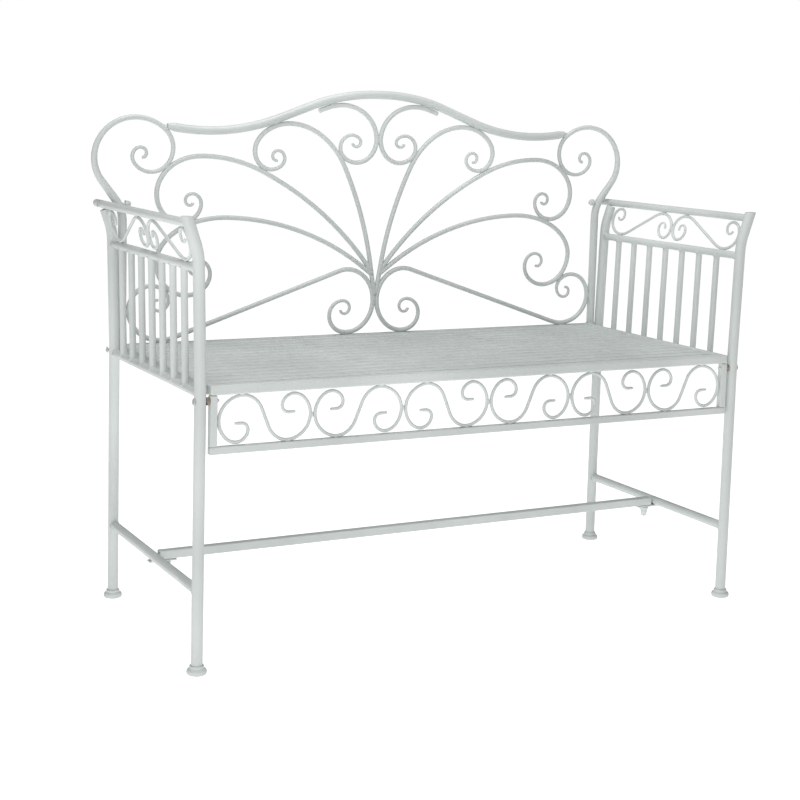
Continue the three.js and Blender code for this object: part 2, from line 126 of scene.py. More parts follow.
def trace(start: tuple[float, float], heading: float, bends: Sequence[Bend]) -> list[Vector]:
    """Follows bends from a point in a flat plane.

    Args:
        start: The first point, in millimetres.
        heading: The first direction, in degrees from the plane's first axis.
        bends: The bends, in order.

    Returns:
        The points along the rod, in millimetres.
    """
    points = [Vector(start)]
    angle = math.radians(heading)
    for bend in bends:
        if bend.length:
            count = max(1, math.ceil(bend.length / FINE_LENGTH))
            step = Vector((math.cos(angle), math.sin(angle))) * (bend.length / count)
            last = points[-1]
            points.extend(last + step * (i + 1) for i in range(count))
            continue
        mean = math.sqrt(bend.start_radius * bend.end_radius)
        widest = min(math.radians(FINE_TURN), 2 * math.acos(1 - FINE_SAG / mean))
        count = max(2, math.ceil(math.radians(abs(bend.turn)) / widest))
        turn = math.radians(bend.turn) / count
        for i in range(count):
            radius = bend.start_radius * (bend.end_radius / bend.start_radius) ** ((i + 0.5) / count)
            chord = 2 * radius * math.sin(abs(turn) / 2)
            along = angle + turn / 2
            points.append(points[-1] + Vector((math.cos(along), math.sin(along))) * chord)
            angle += turn
    return points


@dataclass(frozen=True)
class Scroll:
    """A rod bent from a starting point: ahead, and behind it as well where it has a second end.

    Sizes are in millimetres, with heights above the seat's top or above the scroll's own foot.
    """

    start: tuple[float, float]
    heading: float
    ahead: tuple[Bend, ...]
    behind: tuple[Bend, ...] = ()

    def points(self) -> list[Vector]:
        """The points from the hindmost end to the foremost, in millimetres."""
        forward = trace(self.start, self.heading, self.ahead)
        backward = trace(self.start, self.heading + 180, self.behind)
        return backward[:0:-1] + forward


def lengths_along(path: Path) -> list[float]:
    """The distance of each point from the first, along the path."""
    total = [0.0]
    for a, b in zip(path, path[1:]):
        total.append(total[-1] + (b - a).length)
    return total


def spaced(start: Vector, end: Vector, count: int) -> Path:
    """A straight path in a number of equal steps."""
    return [start.lerp(end, i / count) for i in range(count + 1)]


def smooth_step(share: float) -> float:
    """Runs from 0 to 1 with the share, gently at both ends."""
    held = max(0.0, min(1.0, share))
    return held * held * (3 - 2 * held)


def drawn(
    path: Path, radius: float, tip: float, over: float, ends: tuple[bool, bool] = (True, True),
) -> list[float]:
    """Radii of a rod that is drawn down to a thinner tip at its free ends.

    Args:
        path: The rod's path, in metres.
        radius: The rod's full radius.
        tip: The radius at a drawn end.
        over: The length over which it is drawn down.
        ends: Whether the first and the last end are drawn down.

    Returns:
        One radius for each point.
    """
    along = lengths_along(path)
    radii = []
    for distance in along:
        near = min([distance] * ends[0] + [along[-1] - distance] * ends[1], default=over)
        radii.append(tip + (radius - tip) * smooth_step(near / over))
    return radii


# ---------------------------------------------------------------- meshes


CREASE = 40.0


def mesh_of(name: str, points: Sequence[Vector], faces: Sequence[Sequence[int]]) -> Mesh:
    """A smooth-shaded mesh, creased where its faces meet at more than the crease angle."""
    mesh = bpy.data.meshes.new(name)
    mesh.from_pydata([tuple(p) for p in points], [], [tuple(f) for f in faces])
    mesh.polygons.foreach_set("use_smooth", [True] * len(mesh.polygons))
    mesh.set_sharp_from_angle(angle=math.radians(CREASE))
    mesh.update()
    return mesh


def loft(name: str, rings: Sequence[Sequence[Vector]], first: Vector, last: Vector) -> Mesh:
    """Skins rings of equal count and closes both ends on a pole.

    Args:
        name: The mesh's name.
        rings: Rings that turn to the left round the direction they follow.
        first: The pole before the first ring.
        last: The pole after the last ring.

    Returns:
        A closed mesh whose faces point outwards.
    """
    count = len(rings[0])
    points = [p for ring in rings for p in ring] + [first, last]
    faces = []
    for i in range(len(rings) - 1):
        for j in range(count):
            k = (j + 1) % count
            faces.append((i * count + j, i * count + k, (i + 1) * count + k, (i + 1) * count + j))
    end = (len(rings) - 1) * count
    for j in range(count):
        k = (j + 1) % count
        faces.append((len(points) - 2, k, j))
        faces.append((len(points) - 1, end + j, end + k))
    return mesh_of(name, points, faces)


@dataclass
class Tube:
    """A round tube or rod that follows a path lying in one plane.

    Attributes:
        path: Points in metres.
        radii: One radius for each point, in metres.
        normal: The plane's normal.
        sides: How many faces go round it.
        ends: How its first and last ends stop.
        last_cut: The direction that the last end is cut square to, if not the tube's own.
        broken_edge: The width of the broken edge round a flat end.
        dome_rings: How many rings make a dome.
        dome_depth: The depth of a dome as a share of the tube's radius.
    """

    path: Path
    radii: list[float]
    normal: Vector
    sides: int = 18
    ends: tuple[End, End] = (End.FLAT, End.FLAT)
    last_cut: Vector | None = None
    broken_edge: float = 0.5 * MM
    dome_rings: int = 5
    dome_depth: float = 0.75

    def ring(self, centre: Vector, along: Vector, radius: float, stretch: float = 1.0) -> list[Vector]:
        """One ring square to a direction, stretched in the path's plane."""
        side = self.normal.cross(along).normalized()
        steps = [2 * math.pi * j / self.sides for j in range(self.sides)]
        return [
            centre + side * (math.cos(a) * radius * stretch) + self.normal * (math.sin(a) * radius)
            for a in steps
        ]

    def end_rings(self, index: int, outwards: Vector) -> tuple[list[tuple[Vector, float]], Vector]:
        """Works out how an end is closed.

        Args:
            index: 0 for the first end and -1 for the last.
            outwards: The direction out of that end.

        Returns:
            Centres and radii of the closing rings, going outwards, and the pole after them.
        """
        centre, radius = self.path[index], self.radii[index]
        if self.ends[index] is End.FLAT:
            edge = self.broken_edge
            halfway = edge * 0.3
            steps = [(-edge, radius), (-halfway, radius - halfway), (0.0, radius - edge)]
            return [(centre + outwards * rise, ring) for rise, ring in steps], centre
        depth = self.dome_depth * radius
        quarter = [math.pi / 2 * i / self.dome_rings for i in range(self.dome_rings)]
        rings = [(centre + outwards * (depth * math.sin(a)), radius * math.cos(a)) for a in quarter]
        return rings, centre + outwards * depth

    def mesh(self, name: str) -> Mesh:
        """The tube's closed mesh."""
        steps = [(b - a).normalized() for a, b in zip(self.path, self.path[1:])]
        along = [steps[0]] + [(a + b).normalized() for a, b in zip(steps, steps[1:])] + [steps[-1]]
        opening, first_pole = self.end_rings(0, -along[0])
        closing, last_pole = self.end_rings(-1, along[-1])
        rings = [self.ring(centre, along[0], radius) for centre, radius in reversed(opening)]
        for point, direction, radius in list(zip(self.path, along, self.radii))[1:-1]:
            rings.append(self.ring(point, direction, radius))
        cut = self.last_cut or along[-1]
        stretch = 1 / abs(cut.dot(along[-1]))
        rings.extend(self.ring(centre, cut, radius, stretch) for centre, radius in closing)
        return loft(name, rings, first_pole, last_pole)


RING_SPACING = 40 * MM


def straight(start: Vector, end: Vector, radius: float, normal: Vector, **settings) -> Tube:
    """A straight tube, with a ring every few centimetres."""
    count = max(2, math.ceil((end - start).length / RING_SPACING))
    return Tube(spaced(start, end, count), [radius] * (count + 1), normal, **settings)


EASING_STEPS = 3
MOST_OF_A_SIDE = 0.45


def eased(profile: Profile, easing: float) -> list[tuple[float, float]]:
    """Rounds the corners of an open profile, by an easing length at each."""
    points = [Vector(p) for p in profile]
    result = [points[0]]
    for a, corner, b in zip(points, points[1:], points[2:]):
        before, after = (
            corner + (other - corner).normalized() * min(easing, (other - corner).length * MOST_OF_A_SIDE)
            for other in (a, b)
        )
        for i in range(EASING_STEPS + 1):
            t = i / EASING_STEPS
            result.append(before.lerp(corner, t).lerp(corner.lerp(after, t), t))
    result.append(points[-1])
    return [(p.x, p.y) for p in result]


@dataclass
class Turning:
    """A turned piece on an axis, with an optional hexagon cut over part of its height.

    Attributes:
        profile: [radius, height] pairs in millimetres that start and end on the axis.
        place: Where the profile's zero stands.
        axis: The direction of its height.
        easing: How much its corners are eased.
        hexagon: Half the width across the flats, or 0 for none.
        hexagon_span: The heights between which the flats are cut.
        sides: How many faces go round it.
    """

    profile: Profile
    place: Vector
    axis: Vector
    easing: float = 0.4
    hexagon: float = 0.0
    hexagon_span: tuple[float, float] = (0.0, 0.0)
    sides: int = 48

    def flat_radius(self, angle: float) -> float:
        """The hexagon's radius in a direction."""
        sixth = math.pi / 3
        return self.hexagon / math.cos((angle % sixth) - sixth / 2)

    def mesh(self, name: str) -> Mesh:
        """The turned piece's closed mesh."""
        side = (Z if self.axis.z == 0 else Y).cross(self.axis).normalized()
        other = self.axis.cross(side)
        rings = []
        for radius, height in eased(self.profile, self.easing)[1:-1]:
            centre = self.place + self.axis * (height * MM)
            cut = self.hexagon and self.hexagon_span[0] <= height <= self.hexagon_span[1]
            ring = []
            for j in range(self.sides):
                angle = 2 * math.pi * j / self.sides
                reach = (min(radius, self.flat_radius(angle)) if cut else radius) * MM
                ring.append(centre + side * (math.cos(angle) * reach) + other * (math.sin(angle) * reach))
            rings.append(ring)
        poles = [self.place + self.axis * (self.profile[i][1] * MM) for i in (0, -1)]
        return loft(name, rings, poles[0], poles[1])


def eased_bars(name: str, bars: Sequence[tuple[Vector, Vector]], easing: float) -> Mesh:
    """Square or flat bars with rounded edges, from their lowest and highest corners."""
    bm = bmesh.new()
    for low, high in bars:
        size = high - low
        place = Matrix.Translation((low + high) / 2) @ Matrix.Diagonal((size.x, size.y, size.z, 1))
        made = bmesh.ops.create_cube(bm, size=1, matrix=place)
        edges = list({edge for vert in made["verts"] for edge in vert.link_edges})
        rounded = bmesh.ops.bevel(bm, geom=edges, offset=easing, segments=4, affect="EDGES", profile=0.5)
        for face in rounded["faces"]:
            face.smooth = True
    mesh = bpy.data.meshes.new(name)
    bm.to_mesh(mesh)
    bm.free()
    return mesh


def joined(name: str, meshes: Sequence[Mesh]) -> Mesh:
    """One mesh holding several, each left as it is."""
    bm = bmesh.new()
    for mesh in meshes:
        bm.from_mesh(mesh)
    result = bpy.data.meshes.new(name)
    bm.to_mesh(result)
    bm.free()
    return result


# ---------------------------------------------------------------- node trees


class NodeRig:
    """A Geometry Nodes tree with named inputs, applied to a guide mesh to make one piece."""

    def __init__(self, name: str) -> None:
        """Starts the tree with its guide geometry coming in."""
        self.name = name
        self.tree = bpy.data.node_groups.new(name, "GeometryNodeTree")
        self.tree.interface.new_socket("Guide", in_out="INPUT", socket_type="NodeSocketGeometry")
        self.tree.interface.new_socket("Geometry", in_out="OUTPUT", socket_type="NodeSocketGeometry")
        self.entry = self.tree.nodes.new("NodeGroupInput")
        self.values: dict[str, object] = {}

    @property
    def guide(self) -> Socket:
        """The guide geometry."""
        return self.entry.outputs["Guide"]

    def size(self, name: str, value: object, kind: str = "NodeSocketFloat") -> Socket:
        """Adds a named input and remembers the value it is given.

        Args:
            name: The input's name.
            value: The value for this piece.
            kind: The socket's type.

        Returns:
            The socket to link onwards.
        """
        socket = self.tree.interface.new_socket(name, in_out="INPUT", socket_type=kind)
        self.values[socket.identifier] = value
        return self.entry.outputs[name]

    def node(self, kind: str, links: dict, **settings) -> Node:
        """Adds a node.

        Args:
            kind: The node's type.
            links: What goes into each input, by its name or place: a socket or a value.
            **settings: The node's own options.

        Returns:
            The new node.
        """
        made = self.tree.nodes.new(kind)
        for option, value in settings.items():
            setattr(made, option, value)
        for key, value in links.items():
            socket = made.inputs[key]
            if isinstance(value, Socket):
                self.tree.links.new(value, socket)
            else:
                socket.default_value = value
        return made

    def swept(self, curve: Socket, profile: Socket, scale: Socket | None = None) -> Socket:
        """A profile swept along a curve, with its ends closed.

        Args:
            curve: The curve to follow.
            profile: The outline that follows it.
            scale: The outline's size at each point, where the node takes one.

        Returns:
            The swept geometry.
        """
        links = {"Curve": curve, "Profile Curve": profile, "Fill Caps": True}
        made = self.node("GeometryNodeCurveToMesh", links)
        if scale is not None and "Scale" in made.inputs:
            self.tree.links.new(scale, made.inputs["Scale"])
        return made.outputs[0]

    def circle(self, faces: int, radius: object = 1.0) -> Socket:
        """A round outline of a number of faces."""
        links = {"Resolution": self.size("Faces round", faces, "NodeSocketInt"), "Radius": radius}
        return self.node("GeometryNodeCurvePrimitiveCircle", links).outputs[0]

    def guide_curve(self) -> tuple[Socket, Socket]:
        """The guide as a curve that has its own girth at each point, and that girth."""
        girth = self.node("GeometryNodeInputNamedAttribute", {"Name": "girth"}, data_type="FLOAT").outputs[0]
        curve = self.node("GeometryNodeMeshToCurve", {"Mesh": self.guide}).outputs[0]
        sized = self.node("GeometryNodeSetCurveRadius", {"Curve": curve, "Radius": girth}).outputs[0]
        return sized, girth

    def row(self, shape: Socket, **line: object) -> Socket:
        """A shape repeated along a line, given by its count, start location and offset."""
        links = {key.replace("_", " ").title(): value for key, value in line.items()}
        points = self.node("GeometryNodeMeshLine", links).outputs[0]
        return self.node("GeometryNodeInstanceOnPoints", {"Points": points, "Instance": shape}).outputs[0]

    def vector(self, x: object = 0.0, y: object = 0.0, z: object = 0.0) -> Socket:
        """A vector from three numbers or sockets."""
        return self.node("ShaderNodeCombineXYZ", {"X": x, "Y": y, "Z": z}).outputs[0]

    def finish(self, geometry: Socket, material: Material, guide: Mesh) -> Mesh:
        """Realizes the geometry, dresses it and applies the tree to its guide.

        Args:
            geometry: What the tree makes.
            material: The finish it is given.
            guide: The mesh that the modifier goes on.

        Returns:
            The plain mesh that comes out.
        """
        finish = self.size("Finish", material, "NodeSocketMaterial")
        real = self.node("GeometryNodeRealizeInstances", {"Geometry": geometry})
        dressed = self.node("GeometryNodeSetMaterial", {"Geometry": real.outputs[0], "Material": finish})
        leaving = self.tree.nodes.new("NodeGroupOutput")
        self.tree.links.new(dressed.outputs[0], leaving.inputs["Geometry"])
        carrier = bpy.data.objects.new(self.name, guide)
        bpy.context.scene.collection.objects.link(carrier)
        modifier = carrier.modifiers.new(self.name, "NODES")
        modifier.node_group = self.tree
        for identifier, value in self.values.items():
            modifier[identifier] = value
        graph = bpy.context.evaluated_depsgraph_get()
        result = carrier.evaluated_get(graph)
        made = bpy.data.meshes.new_from_object(result, preserve_all_data_layers=True, depsgraph=graph)
        bpy.data.objects.remove(carrier)
        return made


def smooth_sides(mesh: Mesh) -> Mesh:
    """Smooths the four-sided faces of swept rods and leaves their flat ends as they are."""
    mesh.polygons.foreach_set("use_smooth", [len(p.vertices) == 4 for p in mesh.polygons])
    return mesh


def guide_line(name: str, paths: Sequence[Path], radii: Sequence[Sequence[float]] = ()) -> Mesh:
    """A mesh of edges only, for a node tree to follow.

    Args:
        name: The mesh's name.
        paths: The lines, each a list of points.
        radii: A radius for each point of each line, kept as the attribute "girth".

    Returns:
        The guide mesh.
    """
    points = [p for path in paths for p in path]
    edges = []
    start = 0
    for path in paths:
        edges.extend((start + i, start + i + 1) for i in range(len(path) - 1))
        start += len(path)
    mesh = bpy.data.meshes.new(name)
    mesh.from_pydata([tuple(p) for p in points], edges, [])
    if radii:
        girth = mesh.attributes.new("girth", "FLOAT", "POINT")
        girth.data.foreach_set("value", [r for line_radii in radii for r in line_radii])
    return mesh


# ---------------------------------------------------------------- finishes


def linear(red: float, green: float, blue: float) -> tuple[float, float, float, float]:
    """Scene-linear colour from display values, 0 to 1."""
    def one(value: float) -> float:
        """One channel of it."""
        return value / 12.92 if value <= 0.04045 else ((value + 0.055) / 1.055) ** 2.4
    return (one(red), one(green), one(blue), 1.0)


class Shading:
    """A material's node tree, with short ways to add what the finishes share."""

    def __init__(self, name: str) -> None:
        """Starts a material with its shader and its place on the object."""
        self.material = bpy.data.materials.new(name)
        self.material.use_nodes = True
        self.tree = self.material.node_tree
        self.shader = self.tree.nodes["Principled BSDF"]
        self.place = self.tree.nodes.new("ShaderNodeTexCoord").outputs["Object"]

    def add(self, kind: str, links: dict, **settings) -> Node:
        """Adds a node, with its options and what goes into its inputs."""
        made = self.tree.nodes.new(kind)
        for option, value in settings.items():
            setattr(made, option, value)
        for key, value in links.items():
            if isinstance(value, Socket):
                self.tree.links.new(value, made.inputs[key])
            else:
                made.inputs[key].default_value = value
        return made

    def noise(self, scale: float, detail: float = 3.0, roughness: float = 0.5) -> Socket:
        """Even noise over the object, 0 to 1."""
        links = {"Vector": self.place, "Scale": scale, "Detail": detail, "Roughness": roughness}
        return self.add("ShaderNodeTexNoise", links).outputs[0]

    def ranged(self, value: Socket, low: float, high: float, to_low: float, to_high: float) -> Socket:
        """A value spread from one range to another and held within it."""
        links = {"Value": value, "From Min": low, "From Max": high, "To Min": to_low, "To Max": to_high}
        return self.add("ShaderNodeMapRange", links).outputs[0]

    def product(self, a: Socket, b: object) -> Socket:
        """Two values multiplied."""
        return self.add("ShaderNodeMath", {0: a, 1: b}, operation="MULTIPLY").outputs[0]

    def mixed(self, amount: Socket, a: object, b: object) -> Socket:
        """A colour between two others."""
        node = self.add("ShaderNodeMix", {0: amount}, data_type="RGBA")
        for socket, value in ((node.inputs[6], a), (node.inputs[7], b)):
            if isinstance(value, Socket):
                self.tree.links.new(value, socket)
            else:
                socket.default_value = value
        return node.outputs[2]

    def facing_up(self, low: float, high: float) -> Socket:
        """How far the surface faces upwards, 0 to 1."""
        normal = self.add("ShaderNodeNewGeometry", {}).outputs["Normal"]
        upward = self.add("ShaderNodeSeparateXYZ", {0: normal}).outputs["Z"]
        return self.ranged(upward, low, high, 0.0, 1.0)

    def set(self, **values: object) -> None:
        """Puts constant values or links on the shader's own sockets."""
        for key, value in values.items():
            socket = self.shader.inputs[key.replace("_", " ")]
            if isinstance(value, Socket):
                self.tree.links.new(value, socket)
            else:
                socket.default_value = value

    def bump(self, height: Socket, strength: float, depth: float) -> None:
        """Raises the surface by a height."""
        node = self.add("ShaderNodeBump", {"Strength": strength, "Distance": depth, "Height": height})
        self.tree.links.new(node.outputs[0], self.shader.inputs["Normal"])


@dataclass(frozen=True)
class PowderCoat:
    """Satin powder coat: a broad drift of tone, fine orange peel, dust on flat places, and small chips.

    Attributes:
        name: The material's name.
        colour: The coat's colour, as display values.
        dusty: The colour of settled dust, as display values.
        dust: How much of it shows on surfaces that face up.
        drift: How far the tone drifts.
        roughness: The lowest and highest roughness.
        chips: How much the small chips show.
        under: The colour inside a chip, as display values.
        drift_per_metre: How closely the drift of tone comes, and so on for the rest.
    """

    name: str
    colour: tuple[float, float, float]
    dusty: tuple[float, float, float] = (0.72, 0.73, 0.70)
    dust: float = 0.2
    drift: float = 0.035
    roughness: tuple[float, float] = (0.38, 0.52)
    chips: float = 0.14
    under: tuple[float, float, float] = (0.52, 0.52, 0.49)
    drift_per_metre: float = 4.0
    dust_per_metre: float = 38.0
    chips_per_metre: float = 330.0
    gloss_per_metre: float = 22.0
    peel_per_metre: float = 620.0

    def build(self) -> Material:
        """The material."""
        mix = Shading(self.name)
        darker = linear(*[c - self.drift for c in self.colour])
        lighter = linear(*[min(1.0, c + self.drift) for c in self.colour])
        broad = mix.ranged(mix.noise(self.drift_per_metre, 2.0), 0.3, 0.7, 0.0, 1.0)
        coat = mix.mixed(broad, darker, lighter)
        cloudy = mix.ranged(mix.noise(self.dust_per_metre, 4.0), 0.42, 0.75, 0.0, self.dust)
        coat = mix.mixed(mix.product(mix.facing_up(0.55, 0.95), cloudy), coat, linear(*self.dusty))
        fleck = mix.ranged(mix.noise(self.chips_per_metre, 1.0), 0.735, 0.76, 0.0, self.chips)
        coat = mix.mixed(fleck, coat, linear(*self.under))
        dull = mix.ranged(mix.noise(self.gloss_per_metre), 0.3, 0.7, *self.roughness)
        mix.set(Base_Color=coat, Roughness=dull, Specular_IOR_Level=0.5)
        mix.set(Coat_Weight=0.08, Coat_Roughness=0.25)
        mix.bump(mix.noise(self.peel_per_metre, 2.0, 0.6), 0.22, 0.25 * MM)
        return mix.material


@dataclass(frozen=True)
class DullZinc:
    """Dull zinc plate, browned a little by the weather."""

    name: str = "dull_zinc_plate"
    metal: tuple[float, float, float] = (0.62, 0.60, 0.55)
    browned: tuple[float, float, float] = (0.50, 0.41, 0.31)
    patches_per_metre: float = 160.0
    gloss_per_metre: float = 420.0
    pits_per_metre: float = 900.0

    def build(self) -> Material:
        """The material."""
        mix = Shading(self.name)
        patches = mix.ranged(mix.noise(self.patches_per_metre, 5.0, 0.6), 0.4, 0.62, 0.0, 1.0)
        mix.set(Base_Color=mix.mixed(patches, linear(*self.metal), linear(*self.browned)))
        mix.set(Roughness=mix.ranged(mix.noise(self.gloss_per_metre), 0.3, 0.7, 0.38, 0.62), Metallic=0.6)
        mix.bump(mix.noise(self.pits_per_metre), 0.3, 0.15 * MM)
        return mix.material


@dataclass(frozen=True)
class MouldedPlastic:
    """Matte moulded plastic with a fine spark-eroded grain, darker in patches over its lowest few
    millimetres, next to the floor.
    """

    name: str = "foot_plastic_moulded"
    colour: tuple[float, float, float] = (0.815, 0.838, 0.83)
    near_floor_colour: tuple[float, float, float] = (0.70, 0.70, 0.68)
    near_floor_height: float = 6 * MM
    near_floor_patches_per_metre: float = 140.0
    drift_per_metre: float = 30.0
    gloss_per_metre: float = 200.0
    grain_per_metre: float = 2400.0

    def build(self) -> Material:
        """The material."""
        mix = Shading(self.name)
        # Mixes in a darker grey, in noisy patches, over the lowest few millimetres of height, where the cap
        # stands on the floor.
        height = mix.add("ShaderNodeSeparateXYZ", {0: mix.place}).outputs["Z"]
        low = mix.ranged(height, 0.0, self.near_floor_height, 0.7, 0.0)
        near_floor_patches = mix.product(low, mix.ranged(mix.noise(self.near_floor_patches_per_metre, 5.0), 0.4, 0.65, 0.0, 1.0))
        darker = linear(*[c - 0.02 for c in self.colour])
        drift = mix.mixed(mix.noise(self.drift_per_metre), darker, linear(*self.colour))
        mix.set(Base_Color=mix.mixed(near_floor_patches, drift, linear(*self.near_floor_colour)))
        mix.set(Roughness=mix.ranged(mix.noise(self.gloss_per_metre), 0.3, 0.7, 0.5, 0.66))
        mix.bump(mix.noise(self.grain_per_metre, 2.0), 0.35, 0.1 * MM)
        return mix.material


@dataclass(frozen=True)
class PaleFloor:
    """Plain pale studio floor."""

    name: str = "pale_studio_floor"
    colour: tuple[float, float, float] = (0.80, 0.80, 0.80)
    glow: float = 0.87

    def build(self) -> Material:
        """The material."""
        mix = Shading(self.name)
        shade = mix.mixed(mix.noise(1.5), linear(*[c - 0.01 for c in self.colour]), linear(*self.colour))
        mix.set(Base_Color=shade, Roughness=0.9, Specular_IOR_Level=0.1)
        mix.set(Emission_Color=(1.0, 1.0, 1.0, 1.0), Emission_Strength=self.glow)
        return mix.material


# ---------------------------------------------------------------- workshop


class Workshop:
    """Holds the finishes and puts each made piece on the frame."""

    def __init__(self) -> None:
        """Mixes the finishes."""
        coat = PowderCoat("frame_powder_coat", (0.790, 0.811, 0.802))
        seat = PowderCoat("seat_powder_coat", (0.788, 0.810, 0.800), dust=0.16, roughness=(0.42, 0.6))
        nuts = PowderCoat("fastener_enamel", (0.80, 0.82, 0.81), roughness=(0.3, 0.45), chips=0.3)
        self.finishes: dict[Slot, Material] = {
            Slot.FRAME_PAINT: coat.build(),
            Slot.SEAT_PAINT: seat.build(),
            Slot.FASTENER_PAINT: nuts.build(),
            Slot.ZINC: DullZinc().build(),
            Slot.FOOT_PLASTIC: MouldedPlastic().build(),
        }

    def fit(self, name: str, mesh: Mesh, slot: Slot, *nodes: str) -> Object:
        """Makes an object of a mesh, dresses it and puts it in place of frame nodes.

        Args:
            name: The piece's name.
            mesh: Its finished mesh, in place.
            slot: The material slot it takes its finish from.
            *nodes: The frame nodes that it stands for.

        Returns:
            The piece.
        """
        mesh.name = name
        mesh.materials.clear()
        mesh.materials.append(self.finishes[slot])
        piece = bpy.data.objects.new(name, mesh)
        bpy.context.scene.collection.objects.link(piece)
        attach(piece, BODY)
        if nodes:
            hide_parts(*nodes)
        LOG.info("%s: %d faces, stands for %s", name, len(mesh.polygons), ", ".join(nodes) or "nothing")
        return piece


def middle(node: str) -> Vector:
    """The middle of a frame node."""
    low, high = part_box(node)
    return (low + high) / 2


@dataclass
class Seams:
    """Weld beads of one sub-assembly, laid as lines of varying girth.

    Attributes:
        name: The piece's name.
        bead: The girth of a bead round a tube, in metres.
        stand_off: How far such a bead's middle lies outside the branch, as a share of its girth.
        ring_steps: How many steps go round a tube.
        stitch_steps: How many steps make a short bead.
        thin_end: The girth at a short bead's ends, as a share of its middle.
        ripple: How much the beads ripple.
        ripples_per_metre: How fine the ripples are.
        seed: Which ripples they are.
        paths: The lines laid so far.
        girths: The girth at each of their points.
    """

    name: str
    bead: float = 1.5 * MM
    stand_off: float = 0.25
    ring_steps: int = 28
    stitch_steps: int = 6
    thin_end: float = 0.25
    ripple: float = 0.55 * MM
    ripples_per_metre: float = 420.0
    seed: float = 4.0
    paths: list[Path] = field(default_factory=list)
    girths: list[list[float]] = field(default_factory=list)

    def run(self, path: Path, girth: float, tapered: bool = True) -> None:
        """Lays one bead along a path, thinning towards its ends unless it closes on itself."""
        last = len(path) - 1
        full = [math.sin(math.pi * i / last) ** 0.6 if tapered else 1.0 for i in range(last + 1)]
        self.paths.append(path)
        self.girths.append([girth * (self.thin_end + (1 - self.thin_end) * share) for share in full])

    def saddle(
        self, host: Vector, host_axis: Vector, branch: Vector, host_radius: float, branch_radius: float,
    ) -> None:
        """Lays a bead round a tube that stands on the side of another.

        Args:
            host: The point on the host's own axis under the joint.
            host_axis: The host's direction.
            branch: The branch's direction, away from the host.
            host_radius: The host's radius.
            branch_radius: The branch's radius, less than the host's.
        """
        along = (host_axis - branch * host_axis.dot(branch)).normalized()
        across = branch.cross(along)
        reach = branch_radius + self.bead * self.stand_off
        ring = []
        for i in range(self.ring_steps + 1):
            angle = 2 * math.pi * i / self.ring_steps
            side = reach * math.sin(angle)
            rise = math.sqrt(max(0.0, host_radius**2 - side**2))
            ring.append(host + along * (reach * math.cos(angle)) + across * side + branch * rise)
        self.run(ring, self.bead, tapered=False)

    def stitch(
        self, a: Path, b: Path, radius: float,
        length: float = 12 * MM, girth: float = 1.9 * MM, apart: float = 0.42,
    ) -> None:
        """Lays a short bead on both sides of the place where two rods come nearest.

        Args:
            a: One rod's path.
            b: The other rod's path.
            radius: The first rod's radius.
            length: The bead's length.
            girth: The bead's girth at its middle.
            apart: How far each bead lies from the rods' plane, as a share of the radius.
        """
        nearest = min(range(len(a)), key=lambda i: min((a[i] - q).length_squared for q in b))
        touching = min(b, key=lambda q: (a[nearest] - q).length_squared)
        ahead = (a[min(nearest + 1, len(a) - 1)] - a[max(nearest - 1, 0)]).normalized()
        towards = (touching - a[nearest]).normalized()
        across = ahead.cross(towards).normalized()
        half = ahead * (length / 2)
        for hand in (-1, 1):
            centre = a[nearest] + towards * radius + across * (hand * radius * apart)
            self.run(spaced(centre - half, centre + half, self.stitch_steps), girth)

    def mesh(self, material: Material) -> Mesh:
        """The beads' mesh, swelled along their lines and rippled."""
        rig = NodeRig(self.name)
        curve, girth = rig.guide_curve()
        beads = rig.swept(curve, rig.circle(10), girth)
        fineness = rig.size("Ripples per metre", self.ripples_per_metre)
        links = {"Scale": fineness, "W": rig.size("Seed", self.seed), "Detail": 1.0}
        wander = rig.node("ShaderNodeTexNoise", links, noise_dimensions="4D").outputs[0]
        ripple = rig.size("Ripple", self.ripple)
        centred = rig.node("ShaderNodeMath", {0: wander, 1: 0.5}, operation="SUBTRACT").outputs[0]
        height = rig.node("ShaderNodeMath", {0: centred, 1: ripple}, operation="MULTIPLY").outputs[0]
        normal = rig.node("GeometryNodeInputNormal", {}).outputs[0]
        lift = rig.node("ShaderNodeVectorMath", {0: normal, "Scale": height}, operation="SCALE").outputs[0]
        moved = rig.node("GeometryNodeSetPosition", {"Geometry": beads, "Offset": lift}).outputs[0]
        return rig.finish(moved, material, guide_line(self.name, self.paths, self.girths))


# ---------------------------------------------------------------- side frames


